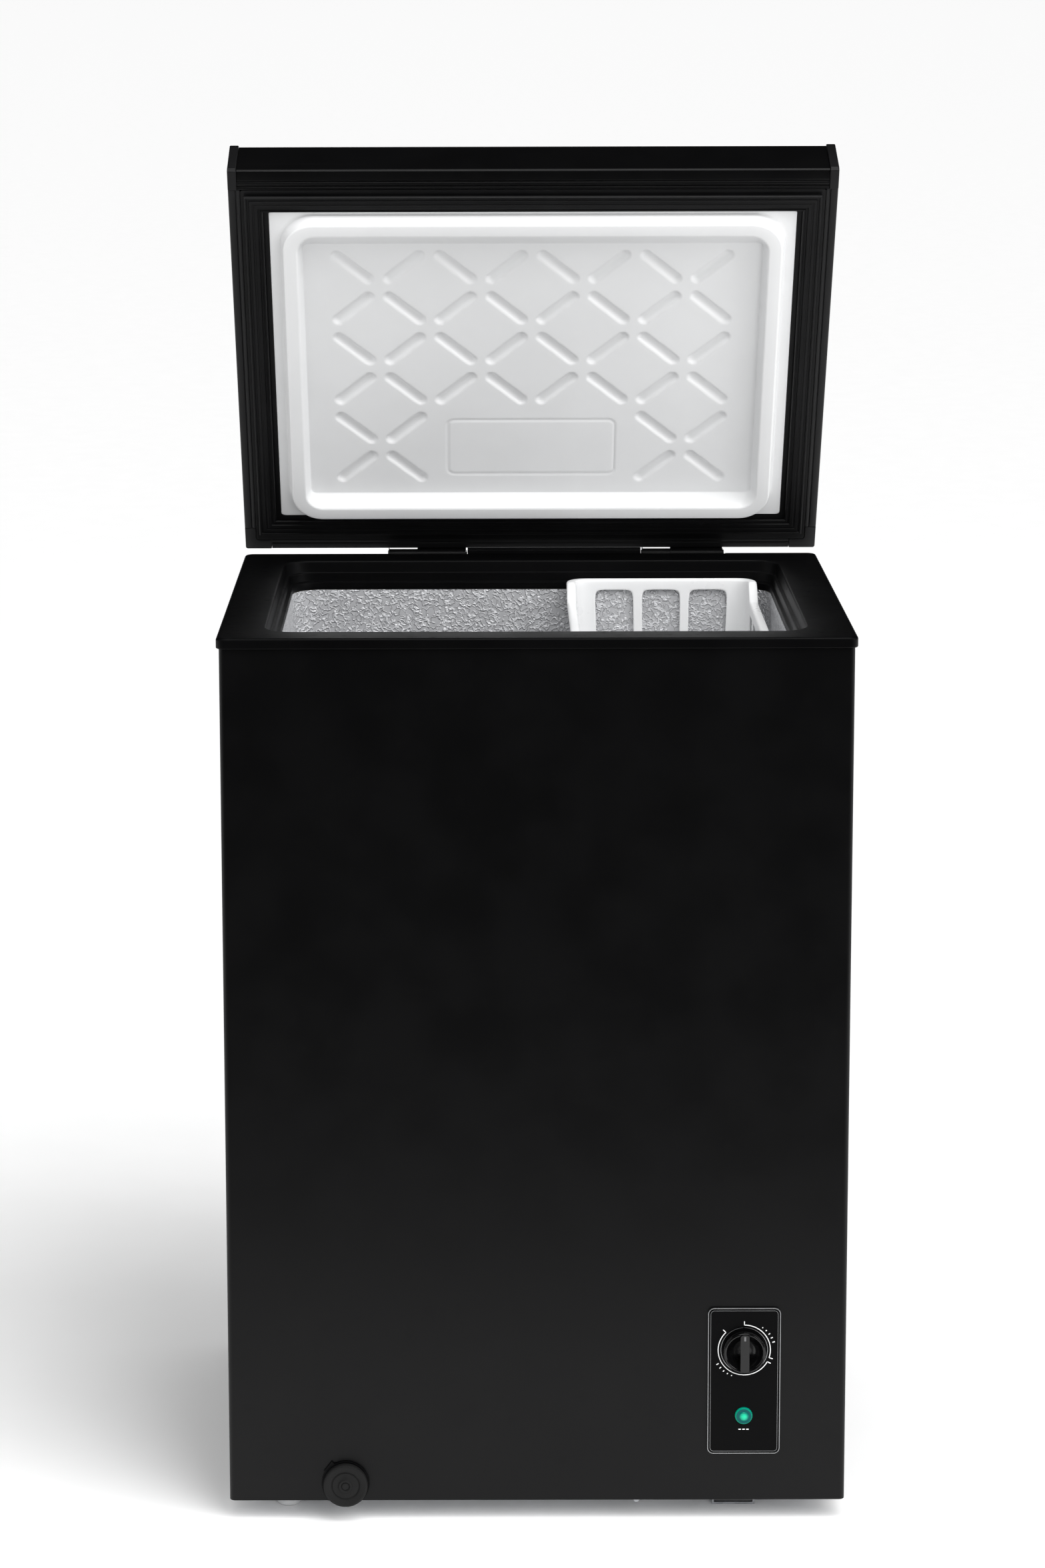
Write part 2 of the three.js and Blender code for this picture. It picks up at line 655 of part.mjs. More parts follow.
function buildFeet() {
  const foot = (top) => turned([[0, 0], [9, 0], [11, 2], [11, 5], [8, 9], [8, top], [0, top]], 16);
  const frontY = cabinetFront + 38;
  const rearY = cabinetRear - 38;
  const footX = cabinetHalf - 50;
  addPiece("foot_front_left", "greyPlastic", foot(cabinetBottom).translate(-footX, frontY, 0));
  addPiece("foot_rear_left", "greyPlastic", foot(cabinetBottom).translate(-footX, rearY, 0));
  addPiece("foot_rear_right", "greyPlastic",
    foot(basePlateBottom - fit).translate(basePlateRight - 22, rearY, 0));
  const width = 38;
  const wall = 2;
  const top = basePlateBottom - fit;
  const left = compressorX + 3 - width / 2;
  const channel = [[left, 0], [left + width, 0], [left + width, top], [left + width - wall, top],
    [left + width - wall, wall], [left + wall, wall], [left + wall, top], [left, top]];
  addPiece("foot_bracket_right", "zincSteel", facingFront(channel, cabinetFront + 70, cabinetFront + 30));
  addPiece("foot_block_right", "rubber", block(left + wall + fit, left + width - wall - fit,
    cabinetFront + 32, cabinetFront + 68, wall + fit, top));
  for (const [name, dx] of [["base_bolt_left", -41], ["base_bolt_right", 39]]) {
    const x = compressorX + dx;
    const y = cabinetFront + 22;
    const washer = upright(circlePoints(x, y, 8, 16), basePlateBottom - fit - 1.4, basePlateBottom - fit);
    const head = upright(circlePoints(x, y, 6, 6), basePlateBottom - fit - 5.4, basePlateBottom - fit - 1);
    addPiece(name, "zincSteel", join(washer, head));
  }
}

// ---------------------------------------------------------------- hinges

function knuckleOutline(fromAngle, sweep) {
  return circlePoints(pivotY, pivotZ, knuckleRadius, 14, fromAngle, sweep);
}

function buildHinge(side, hinge) {
  const boreRadius = pinRadius / Math.cos(Math.PI / 16) + runningGap;
  const bore = circlePoints(pivotY, pivotZ, boreRadius, 16);
  const leafFront = cabinetRear + fit;
  const leafRear = leafFront + leafThickness;
  const leafBottom = pivotZ - lowerLeafDrop;
  const plateTop = pivotZ - knuckleRadius - 1;
  const rise = THREE.MathUtils.radToDeg(Math.asin((leafRear - pivotY) / knuckleRadius));
  const lowerPoints = [[leafFront, plateTop - 5], [leafRear, plateTop - 5],
    ...knuckleOutline(rise - 90, 270 - rise), [leafFront, pivotZ]];
  const plate = block(hinge.from, hinge.to, leafFront, leafRear, leafBottom, plateTop);
  const shelfDepth = 2 * springRadius + 6;
  const middle = (hinge.from + hinge.to) / 2;
  const shelf = block(middle - springShelfWidth / 2, middle + springShelfWidth / 2, leafRear - 0.5,
    leafRear + shelfDepth, leafBottom, leafBottom + springShelfSheet);
  const knuckle = alongX(lowerPoints, hinge.from, hinge.split - fit / 2, [bore]);
  addPiece(`hinge_leaf_lower_${side}`, "blackSteel", join(knuckle, plate, shelf));

  const upperFront = lidRear + fit;
  const upperRear = upperFront + leafThickness;
  const a0 = THREE.MathUtils.radToDeg(Math.acos((upperFront - pivotY) / knuckleRadius));
  const a1 = THREE.MathUtils.radToDeg(Math.acos((upperRear - pivotY) / knuckleRadius));
  const upperPoints = [[upperRear, lidPlane + upperLeafRise], [upperFront, lidPlane + upperLeafRise],
    ...knuckleOutline(a0, 360 - (a0 - a1))];
  addPiece(`hinge_leaf_upper_${side}`, "blackSteel",
    alongX(upperPoints, hinge.split + fit / 2, hinge.to, [bore]), lid);

  addPiece(`hinge_pin_${side}`, "zincSteel",
    rod(pinRadius, hinge.from - pinReveal, hinge.to + pinReveal, pivotY, pivotZ));

  const springBottom = leafBottom + springShelfSheet + fit + springWire;
  const springTop = plateTop - 12;
  const turns = springTurns * 8;
  const coil = Array.from({ length: turns + 1 }, (_, i) => {
    const angle = (i / 8) * 2 * Math.PI;
    const y = leafRear + fit + springWire + springRadius;
    return [middle + springRadius * Math.cos(angle), y + springRadius * Math.sin(angle),
      springBottom + ((springTop - springBottom) * i) / turns];
  });
  addPiece(`hinge_spring_${side}`, "zincSteel", pipe(coil, springWire, 5, turns));
}

function buildTieBar() {
  const bar = block(hingeLeft.to + 1.2 + fit, hingeRight.from - 1.2 - fit, rimDepth + 1, rimDepth + 6,
    pivotZ + 3.7, pivotZ + 6.3);
  addPiece("hinge_tie_bar", "blackSteel", bar);
}

// ---------------------------------------------------------------- lid

const lidInnerHalf = half - trimFace - fit;
const lidInnerRear = lidRear - trimFace - fit;
const handleRear = lidFront + handleDepth;
const lidInnerFront = handleRear + fit;

// The lid's moulded inner face: one rounded rectangle of it, set by how far out and how far down.
function lidSection(side, front, rear, r, drop) {
  return { x0: -side, x1: side, y0: front, y1: rear, r, z: lidPlane - drop };
}

// The outer edge of the moulded face, which the seal's black carrier meets.
function flangeEdge(grow, drop) {
  const side = half - collarSideWidth - ridgeRimClearance + flangeSide + grow;
  const front = collarFrontWidth + ridgeFrontClearance - flangeFront - grow;
  const rear = rimDepth - collarRearWidth - ridgeRearClearance + flangeRear + grow;
  return lidSection(side, front, rear, 2, drop);
}

function ridgeSections(gap, floorDrop) {
  const outHalf = half - collarSideWidth - ridgeRimClearance;
  const outFront = collarFrontWidth + ridgeFrontClearance;
  const outRear = rimDepth - collarRearWidth - ridgeRearClearance;
  const down = ridgeHeight - gap;
  const s = ridgeOuterSlope;
  const w = s + ridgeWidth;
  const q = w + ridgeInnerSlope;
  const g = gap;
  return [
    lidSection(outHalf - q - g, outFront + q + g, outRear - q - g, 12, floorDrop),
    lidSection(outHalf - w + g, outFront + w - g, outRear - w + g, 18, down),
    lidSection(outHalf - s - g, outFront + s + g, outRear - s - g, 28, down),
    lidSection(outHalf - g, outFront + g, outRear - g, 30, floorDrop),
  ];
}

function buildLidShell() {
  const skin = lidLinerSheet;
  const face = [...ridgeSections(0, 0), flangeEdge(0, 0)];
  const back = [...ridgeSections(skin, -skin), flangeEdge(0, -skin)].reverse();
  addPiece("lid_inner_liner", "whitePlastic", stack([...face, ...back]), lid);

  const edge = (drop) => lidSection(lidInnerHalf, lidInnerFront, lidInnerRear, 2, drop);
  const carrier = [flangeEdge(fit, 0), flangeEdge(fit, -skin), edge(-skin), edge(0)];
  addPiece("lid_gasket_frame", "blackPlastic", stack(carrier, true), lid);

  const foamGap = skin + fit;
  const foamHalf = lidInnerHalf - steelSheet - fit;
  const foamEdge = (z) => ({ x0: -foamHalf, x1: foamHalf, y0: lidInnerFront + steelSheet + fit,
    y1: lidInnerRear - steelSheet - fit, r: 2, z });
  addPiece("lid_insulation", "foam", stack([...ridgeSections(foamGap, -foamGap),
    foamEdge(lidPlane + foamGap), foamEdge(lidTop - steelSheet - fit)]), lid);

  const pan = (grow, z) => ({ x0: -lidInnerHalf + grow, x1: lidInnerHalf - grow, y0: lidInnerFront + grow,
    y1: lidInnerRear - grow, r: 2, z });
  const panBottom = lidPlane + skin + fit;
  addPiece("lid_outer_panel", "blackSteel", stack([pan(0, lidTop), pan(0, panBottom),
    pan(steelSheet, panBottom), pan(steelSheet, lidTop - steelSheet)]), lid);
}

function buildLidTrims() {
  const w = trimWall;
  const sideFront = handleRear + fit;
  const sideRear = lidRear - cornerCapArm - fit;
  for (const [side, sign] of [["left", -1], ["right", 1]]) {
    const points = [[half, lidPlane], [half, lidTop], [half - trimFace, lidTop],
      [half - trimFace, lidTop - w],
      [half - w, lidTop - w], [half - w, lidPlane + w], [half - trimFace, lidPlane + w],
      [half - trimFace, lidPlane]].map(([x, z]) => [sign * x, z]);
    addPiece(`lid_side_trim_${side}`, "blackPlastic", facingFront(points, sideRear, sideFront), lid);

    const arm = cornerCapArm;
    const curve = circlePoints(half - 9, lidRear - 9, 9, 4, 0, 90);
    const cap = [[half - trimFace, lidRear - arm], [half, lidRear - arm], ...curve, [half - arm, lidRear],
      [half - arm, lidRear - trimFace], [half - trimFace, lidRear - trimFace]];
    const outlinePoints = sign > 0 ? cap : cap.map(([x, y]) => [-x, y]).reverse();
    addPiece(`lid_corner_cap_${side}`, "blackPlastic", upright(outlinePoints, lidPlane, lidTop), lid);
  }
  const reach = half - cornerCapArm - fit;
  const rearPoints = [[lidRear, lidPlane], [lidRear, lidTop], [lidRear - trimFace, lidTop],
    [lidRear - trimFace, lidTop - w], [lidRear - w, lidTop - w], [lidRear - w, lidPlane + w],
    [lidRear - trimFace, lidPlane + w], [lidRear - trimFace, lidPlane]];
  addPiece("lid_rear_trim", "blackPlastic", alongX(rearPoints, -reach, reach), lid);
}

function buildGasket() {
  const outHalf = half - gasketInset;
  const outRear = lidRear - gasketRearInset;
  const outFront = lidFront + gasketFrontInset;
  const at = (inward, drop) => ({ x0: -outHalf + inward, x1: outHalf - inward, y0: outFront + inward,
    y1: outRear - inward, r: 3, z: lidPlane - drop });
  const top = fit;
  const bottom = fit + gasketHeight;
  const w = gasketWidth;
  addPiece("lid_gasket", "rubber", stack([at(0, top + 1.2), at(1, bottom - 0.8), at(w * 0.3, bottom),
    at(w * 0.7, bottom), at(w - 1, bottom - 0.8), at(w, top + 1.2), at(w - 3, top),
    at(3, top)], true), lid);
}

function handleOutline(grow) {
  const front = lidFront;
  const toe = 4;
  return [[front + handleLean + 1.5 - grow, lidTop + grow], [front + handleLean - grow, lidTop - 1.5],
    [front - grow, lidPlane + toe], [front + 1.5 - grow, lidPlane + toe - 2 - grow],
    [front + 10, lidPlane + 0.5 - grow / 2], [handleRear, lidPlane - grow / 2],
    [handleRear, lidTop + grow]];
}

function buildHandle() {
  const w = handleWall;
  const front = lidFront;
  const hollow = [[front + handleLean + w + 1, lidTop - w], [front + w + 0.5, lidPlane + 5],
    [front + 11, lidPlane + w + 0.7], [handleRear - w, lidPlane + w], [handleRear - w, lidTop - w]];
  const reach = half - endCapWidth - fit;
  addPiece("lid_handle_profile", "blackPlastic", alongX(handleOutline(0), -reach, reach, [hollow]), lid);
  const cap = handleOutline(endCapReveal);
  addPiece("handle_end_cap_left", "blackPlastic", alongX(cap, -half, -half + endCapWidth), lid);
  addPiece("handle_end_cap_right", "blackPlastic", alongX(cap, half - endCapWidth, half), lid);
}

// ---------------------------------------------------------------- basket

function buildBasket() {
  const lipTop = ledgeZ + fit + basketLip;
  const bottom = lipTop - basketDepth;
  const lipGap = 0.8;
  const lipFront = collarFrontWidth + collarLedge.front + lipGap;
  const lipRear = rimDepth - collarRearWidth - collarLedge.rear - lipGap;
  const bodyFront = wellFrontWall + basketWellGap;
  const bodyRear = wellBack - basketWellGap;
  const at = (inset, y0, y1, r, z) => ({ x0: basketLeft + inset, x1: basketRight - inset, y0, y1, r, z });
  const t = basketTaper;
  const wall = basketWall;
  const under = ledgeZ + fit;
  const shell = stack([
    at(t, bodyFront + t, bodyRear - t, 16, bottom),
    at(basketSideFlange, bodyFront, bodyRear, 14, under),
    at(0, lipFront, lipRear, 12, under),
    at(0, lipFront, lipRear, 12, lipTop),
    at(basketSideFlange + wall, bodyFront + wall, bodyRear - wall, 12, lipTop),
    at(t + wall, bodyFront + t + wall, bodyRear - t - wall, 14, bottom + wall),
  ]);
  const cuts = [];
  const middle = (basketLeft + basketRight) / 2;
  const pitch = basketWindow + basketBar;
  const upperRow = lipTop - basketWindowDrop;
  const rowTops = [upperRow, upperRow - basketWindowHeight - basketBar];
  for (const top of rowTops) {
    for (const step of [-1, 0, 1]) {
      const x = middle + step * pitch - basketWindow / 2;
      cuts.push(block(x, x + basketWindow, lipFront - cutMargin, lipRear + cutMargin,
        top - basketWindowHeight, top));
    }
    const sidePitch = (bodyRear - bodyFront - 2 * basketEndSpare + basketBar) / 6;
    for (let i = 0; i < 6; i += 1) {
      const y = bodyFront + basketEndSpare + i * sidePitch;
      const sideTop = top === rowTops[0] ? lipTop - dipDepth - basketBar : top;
      cuts.push(block(basketLeft - cutMargin, basketRight + cutMargin, y, y + sidePitch - basketBar,
        top - basketWindowHeight, sideTop));
    }
  }
  const dip = [[bodyFront + dipStart + dipSlope, lipTop - dipDepth],
    [bodyRear - dipStart - dipSlope, lipTop - dipDepth],
    [bodyRear - dipStart, lipTop + basketLip], [bodyFront + dipStart, lipTop + basketLip]];
  cuts.push(alongX(dip, basketLeft - cutMargin, basketRight + cutMargin));
  addPiece("storage_basket", "whitePlastic", cut(shell, ...cuts));
}

// ---------------------------------------------------------------- assembly

buildOuterWrap();
buildRearPanel();
buildBottomPan();
buildInsulation();
buildLiner();
buildRimCollar();
buildBasePlate();
buildCompressor();
buildPlumbing();
buildRearCover();
buildControls();
buildDrain();
buildFeet();
buildHinge("left", hingeLeft);
buildHinge("right", hingeRight);
buildTieBar();
buildLidShell();
buildLidTrims();
buildGasket();
buildHandle();
buildBasket();

freezer.updateMatrixWorld(true);
const bounds = new THREE.Box3().setFromObject(freezer, true);
const middle = bounds.getCenter(new THREE.Vector3());
freezer.position.set(-middle.x, -middle.y, -bounds.min.z);

export default freezer;
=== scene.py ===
"""A small chest freezer with its lid raised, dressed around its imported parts.

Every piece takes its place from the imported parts, in metres. The lid's pieces are worked out as if
the lid were shut and are then swung open about the hinge line.
"""

import json
import logging
import math
from dataclasses import dataclass, field, replace
from enum import Enum
from typing import Any, Sequence

import bmesh
import bpy
import numpy as np
from mathutils import Matrix, Vector


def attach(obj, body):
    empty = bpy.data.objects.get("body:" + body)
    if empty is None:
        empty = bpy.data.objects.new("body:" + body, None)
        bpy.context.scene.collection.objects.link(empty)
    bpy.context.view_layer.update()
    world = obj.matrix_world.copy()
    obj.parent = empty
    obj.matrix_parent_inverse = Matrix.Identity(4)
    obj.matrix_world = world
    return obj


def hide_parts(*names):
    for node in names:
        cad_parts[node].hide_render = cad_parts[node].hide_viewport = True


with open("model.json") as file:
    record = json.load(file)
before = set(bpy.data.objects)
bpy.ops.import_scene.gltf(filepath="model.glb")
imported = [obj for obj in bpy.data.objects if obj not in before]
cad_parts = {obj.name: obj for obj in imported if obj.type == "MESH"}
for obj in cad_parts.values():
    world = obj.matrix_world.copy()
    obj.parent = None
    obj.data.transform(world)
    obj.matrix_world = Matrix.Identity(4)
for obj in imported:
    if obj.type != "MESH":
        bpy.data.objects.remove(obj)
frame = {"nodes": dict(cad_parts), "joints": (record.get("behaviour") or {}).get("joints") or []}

Array = np.ndarray
Colour = tuple[float, float, float]
Point = tuple[float, float, float]
Socket = bpy.types.NodeSocket

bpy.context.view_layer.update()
MM = 0.001
MERGE_DISTANCE = 2e-6
LOG = logging.getLogger("freezer")


# ---------------------------------------------------------------- finishes


class Graph:
    """The nodes of one material, added a step at a time."""

    def __init__(self, name: str) -> None:
        """Starts a material with one shader.

        Args:
            name: the material's name.
        """
        self.material = bpy.data.materials.new(name)
        self.material.use_nodes = True
        self.tree = self.material.node_tree
        self.tree.nodes.clear()
        self.shader = self.tree.nodes.new("ShaderNodeBsdfPrincipled")
        output = self.tree.nodes.new("ShaderNodeOutputMaterial")
        self.tree.links.new(self.shader.outputs["BSDF"], output.inputs["Surface"])

    def add(self, kind: str, inputs: dict[Any, Any], **settings: Any) -> bpy.types.Node:
        """Adds a node.

        Args:
            kind: Blender's type name of the node.
            inputs: what each input holds, a socket to link or a value.
            settings: the node's own properties.

        Returns:
            The node.
        """
        node = self.tree.nodes.new(kind)
        for key, value in settings.items():
            setattr(node, key, value)
        for key, value in inputs.items():
            self.feed(node.inputs[key], value)
        return node

    def feed(self, target: Socket, value: Any) -> None:
        """Links a socket to an input, or sets the input to a value.

        Args:
            target: the input.
            value: the socket or the value.
        """
        if isinstance(value, bpy.types.NodeSocket):
            self.tree.links.new(value, target)
        else:
            target.default_value = value

    def place(self, stretch: Point = (1, 1, 1), centre: Point = (0, 0, 0)) -> Socket:
        """The place on the piece, in metres.

        Args:
            stretch: how much each axis is scaled.
            centre: the point that becomes the pattern's middle.

        Returns:
            The vector.
        """
        spot = self.add("ShaderNodeTexCoord", {}).outputs["Object"]
        moved = self.add("ShaderNodeVectorMath", {0: spot, 1: centre}, operation="SUBTRACT").outputs[0]
        return self.add("ShaderNodeMapping", {"Vector": moved, "Scale": stretch}).outputs["Vector"]

    def noise(self, size: float, detail: float = 2.0, stretch: Point = (1, 1, 1),
              distortion: float = 0.0) -> Socket:
        """Cloudy noise from 0 to 1.

        Args:
            size: the width of a patch, in metres.
            detail: how many finer octaves it has.
            stretch: how much each axis is scaled.
            distortion: how far the pattern is warped.

        Returns:
            The value.
        """
        values = {"Vector": self.place(stretch), "Scale": 1 / size, "Detail": detail,
                  "Distortion": distortion}
        return self.add("ShaderNodeTexNoise", values).outputs["Fac"]

    def cells(self, size: float, feature: str = "F1") -> bpy.types.Node:
        """Voronoi cells of a width in metres."""
        values = {"Vector": self.place(), "Scale": 1 / size}
        return self.add("ShaderNodeTexVoronoi", values, feature=feature)

    def span(self, value: Socket, low: float, high: float, to_low: float = 0.0,
             to_high: float = 1.0) -> Socket:
        """Maps a value smoothly from one span to another.

        Args:
            value: what is mapped.
            low: the value that becomes to_low.
            high: the value that becomes to_high.
            to_low: the first end of the new span.
            to_high: the other end.

        Returns:
            The mapped value.
        """
        values = {"Value": value, "From Min": low, "From Max": high, "To Min": to_low, "To Max": to_high}
        node = self.add("ShaderNodeMapRange", values, interpolation_type="SMOOTHSTEP")
        return node.outputs["Result"]

    def math(self, operation: str, first: Any, second: Any = 0.0) -> Socket:
        """One step of arithmetic on two values."""
        return self.add("ShaderNodeMath", {0: first, 1: second}, operation=operation).outputs[0]

    def blend(self, factor: Socket, first: Any, second: Any) -> Socket:
        """A colour between two colours.

        Args:
            factor: how much there is of the second.
            first: the colour where the factor is 0.
            second: the colour where it is 1.

        Returns:
            The colour.
        """
        node = self.add("ShaderNodeMix", {}, data_type="RGBA")
        self.feed(node.inputs[0], factor)
        for slot_number, value in ((6, first), (7, second)):
            self.feed(node.inputs[slot_number], (*value, 1.0) if isinstance(value, tuple) else value)
        return node.outputs[2]

    def bump(self, height: Socket, depth: float, under: Socket | None = None) -> Socket:
        """Relief on the surface.

        Args:
            height: the relief, from 0 to 1.
            depth: how deep it is, in metres.
            under: the relief that it lies on.

        Returns:
            The normal.
        """
        node = self.add("ShaderNodeBump", {"Height": height, "Distance": depth})
        if under is not None:
            self.feed(node.inputs["Normal"], under)
        return node.outputs["Normal"]

    def surface(self, colour: Socket, rough: Socket, normal: Socket) -> None:
        """Gives the shader its colour, roughness and relief.

        Args:
            colour: the colour.
            rough: the roughness.
            normal: the normal of the relief.
        """
        for name, socket in (("Base Color", colour), ("Roughness", rough), ("Normal", normal)):
            self.feed(self.shader.inputs[name], socket)


def shade(colour: Colour, factor: float) -> Colour:
    """A colour made lighter or darker by a factor."""
    red, green, blue = (min(1.0, part * factor) for part in colour)
    return red, green, blue


@dataclass(frozen=True)
class Finish:
    """A moulded, painted or rubber surface: a fine grain, a slow mottle and faint rubbed patches."""

    name: str
    colour: Colour
    roughness: float
    specular: float = 0.5
    metallic: float = 0.0
    grain: float = 1.2 * MM
    depth: float = 0.03 * MM
    mottle: float = 0.12
    rubbed: float = 0.08
    stretch: Point = (1, 1, 1)

    def material(self) -> bpy.types.Material:
        """The finish's material, made on first use and then shared."""
        made = bpy.data.materials.get(f"finish_{self.name}")
        return made if made else self.build()

    def build(self) -> bpy.types.Material:
        """Makes the material.

        Returns:
            The new material.
        """
        graph = Graph(f"finish_{self.name}")
        sockets = graph.shader.inputs
        sockets["Specular IOR Level"].default_value = self.specular
        sockets["Metallic"].default_value = self.metallic
        self.dress(graph)
        return graph.material

    def dress(self, graph: Graph) -> None:
        """Gives the shader its colour, roughness and relief.

        Args:
            graph: the material's nodes.
        """
        patches = graph.noise(60 * MM, 4.0)
        rubs = graph.span(graph.noise(9 * MM, 5.0, self.stretch), 0.58, 0.75)
        colour = graph.blend(graph.span(patches, 0.3, 0.7), shade(self.colour, 1 - self.mottle),
                             shade(self.colour, 1 + self.mottle))
        rough = graph.span(patches, 0.3, 0.7, self.roughness - 0.03, self.roughness + 0.03)
        rough = graph.math("ADD", rough, graph.math("MULTIPLY", rubs, self.rubbed))
        fine = graph.noise(self.grain, 3.0, self.stretch)
        slow = graph.bump(graph.noise(30 * MM, 2.0), 0.08 * MM)
        graph.surface(colour, rough, graph.bump(fine, self.depth, slow))


@dataclass(frozen=True)
class SheetMetal(Finish):
    """Bare or plated metal: crystal spangle, rolling streaks along one axis and dull spots."""

    spangle: float = 7 * MM
    streak: Point = (1, 1, 0.04)

    def dress(self, graph: Graph) -> None:
        """Gives the shader its colour, roughness and relief.

        Args:
            graph: the material's nodes.
        """
        crystals = graph.cells(self.spangle)
        tone = graph.add("ShaderNodeSeparateColor", {0: crystals.outputs["Color"]}).outputs[0]
        streaks = graph.noise(1.5 * MM, 3.0, self.streak)
        dull = graph.span(graph.noise(40 * MM, 5.0), 0.45, 0.7)
        colour = graph.blend(tone, shade(self.colour, 1 - self.mottle),
                             shade(self.colour, 1 + self.mottle))
        colour = graph.blend(graph.math("MULTIPLY", dull, 0.3), colour, shade(self.colour, 0.78))
        rough = graph.math("ADD", graph.math("MULTIPLY", tone, 0.08), self.roughness)
        rough = graph.math("ADD", rough, graph.math("MULTIPLY", dull, 0.14))
        graph.surface(colour, rough, graph.bump(streaks, self.depth))


@dataclass(frozen=True)
class Stucco(Finish):
    """Embossed sheet: short winding ridges, which are the lines where a noise crosses its middle, with
    painted highlight on their crests and painted shade on the ground between them.
    """

    ridge: float = 4.2 * MM

    def dress(self, graph: Graph) -> None:
        """Gives the shader its colour, roughness and relief.

        Args:
            graph: the material's nodes.
        """
        field_value = graph.noise(self.ridge, 0.6, self.stretch, 0.5)
        away = graph.math("ABSOLUTE", graph.math("SUBTRACT", field_value, 0.5))
        ridges = graph.span(away, 0.0, 0.12, 1.0, 0.0)
        patches = graph.span(graph.noise(50 * MM, 3.0), 0.3, 0.7)
        # Painted shade: the ground between the ridges is painted darker than the sheet's colour, with
        # random patches in it.
        low = graph.blend(patches, shade(self.colour, 0.84 - self.mottle), shade(self.colour, 0.84))
        # Painted highlight: the ridge crests are painted lighter than the sheet's colour.
        colour = graph.blend(ridges, low, shade(self.colour, 1.15))
        rough = graph.span(ridges, 0.0, 1.0, self.roughness, self.roughness - 0.12)
        graph.surface(colour, rough, graph.bump(ridges, self.depth))


@dataclass(frozen=True)
class Foam(Finish):
    """Poured foam: small closed cells and a few larger voids."""

    def dress(self, graph: Graph) -> None:
        """Gives the shader its colour, roughness and relief.

        Args:
            graph: the material's nodes.
        """
        small = graph.cells(1.6 * MM).outputs["Distance"]
        large = graph.span(graph.cells(14 * MM).outputs["Distance"], 0.1, 0.3)
        colour = graph.blend(small, shade(self.colour, 1.1), shade(self.colour, 0.82))
        rough = graph.span(small, 0.0, 1.0, self.roughness, 1.0)
        graph.surface(colour, rough, graph.bump(small, 0.4 * MM, graph.bump(large, 0.8 * MM)))


@dataclass(frozen=True)
class Lens(Finish):
    """A lit lens: glowing rings round its middle, darker towards the rim."""

    centre: Point = (0, 0, 0)
    radius: float = 7.7 * MM
    deep: Colour = (0.0, 0.06, 0.06)
    bright: Colour = (0.005, 0.66, 0.32)
    glow: float = 0.55

    def dress(self, graph: Graph) -> None:
        """Gives the shader its rings, which are a function of the distance from the middle.

        Args:
            graph: the material's nodes.
        """
        flat = graph.place((1, 0, 1), self.centre)
        length = graph.add("ShaderNodeVectorMath", {0: flat}, operation="LENGTH").outputs["Value"]
        share = graph.math("DIVIDE", length, self.radius)
        core = graph.span(share, 0.12, 0.62, 1.0, 0.0)
        off_ring = graph.math("ABSOLUTE", graph.math("SUBTRACT", share, 0.93))
        ring = graph.math("MULTIPLY", graph.span(off_ring, 0.0, 0.12, 1.0, 0.0), 0.75)
        ripple = graph.span(graph.math("SINE", graph.math("MULTIPLY", share, 30.0)), -1.0, 1.0)
        lit = graph.blend(graph.math("MAXIMUM", core, ring), self.deep, self.bright)
        graph.feed(graph.shader.inputs["Emission Color"], lit)
        graph.shader.inputs["Emission Strength"].default_value = self.glow
        rough = graph.span(ripple, 0.0, 1.0, 0.08, self.roughness)
        graph.surface(graph.blend(core, self.deep, self.colour), rough, graph.bump(ripple, 0.12 * MM))


BLACK_PAINT = Finish("black_paint", (0.0019, 0.0019, 0.0021), 0.42, 0.23, grain=0.9 * MM, depth=0.02 * MM,
                     mottle=0.12, rubbed=0.05)
BLACK_MOULDED = Finish("black_moulded", (0.0017, 0.0017, 0.0019), 0.44, 0.12, grain=0.7 * MM,
                       depth=0.03 * MM)
BLACK_EXTRUDED = Finish("black_extruded", (0.0022, 0.0022, 0.0024), 0.36, 0.22, grain=0.8 * MM,
                        depth=0.015 * MM, stretch=(0.03, 1, 1))
TRIM_PLASTIC = Finish("black_trim", (0.0075, 0.0075, 0.008), 0.46, 0.36, grain=0.8 * MM, depth=0.03 * MM)
SEAL = Finish("seal_vinyl", (0.0046, 0.0046, 0.005), 0.46, 0.26, grain=1.1 * MM, depth=0.05 * MM,
              mottle=0.2)
RUBBER = Finish("black_rubber", (0.009, 0.009, 0.009), 0.7, 0.25, grain=0.8 * MM, depth=0.06 * MM,
                mottle=0.25)
GREY_RUBBER = Finish("grey_rubber", (0.1, 0.1, 0.102), 0.62, 0.3, grain=0.9 * MM, depth=0.05 * MM,
                     mottle=0.2)
WHITE_SHEET = Finish("white_formed_sheet", (0.86, 0.865, 0.87), 0.36, 0.45, grain=1.4 * MM,
                     depth=0.012 * MM, mottle=0.012, rubbed=0.06)
WHITE_MOULDED = Finish("white_moulded", (0.84, 0.845, 0.85), 0.3, 0.5, grain=1.0 * MM, depth=0.01 * MM,
                       mottle=0.012, rubbed=0.05)
GREY_MOULDED = Finish("grey_moulded", (0.55, 0.555, 0.56), 0.5, 0.45, depth=0.03 * MM, mottle=0.05)
BLACK_ENAMEL = Finish("black_enamel", (0.008, 0.008, 0.009), 0.26, 0.5, grain=2.2 * MM, depth=0.05 * MM)
HINGE_PAINT = Finish("hinge_paint", (0.003, 0.003, 0.0033), 0.4, 0.3, grain=1.1 * MM, depth=0.03 * MM)
PANEL_FACE = Finish("panel_face", (0.0016, 0.0016, 0.0018), 0.34, 0.07, grain=0.5 * MM, depth=0.008 * MM)
KNOB_PLASTIC = Finish("knob_plastic", (0.002, 0.002, 0.0022), 0.14, 0.45, grain=0.6 * MM, depth=0.008 * MM)
PRINT_INK = Finish("white_ink", (0.85, 0.85, 0.85), 0.55, 0.3, grain=0.3 * MM, depth=0.01 * MM, mottle=0.05)
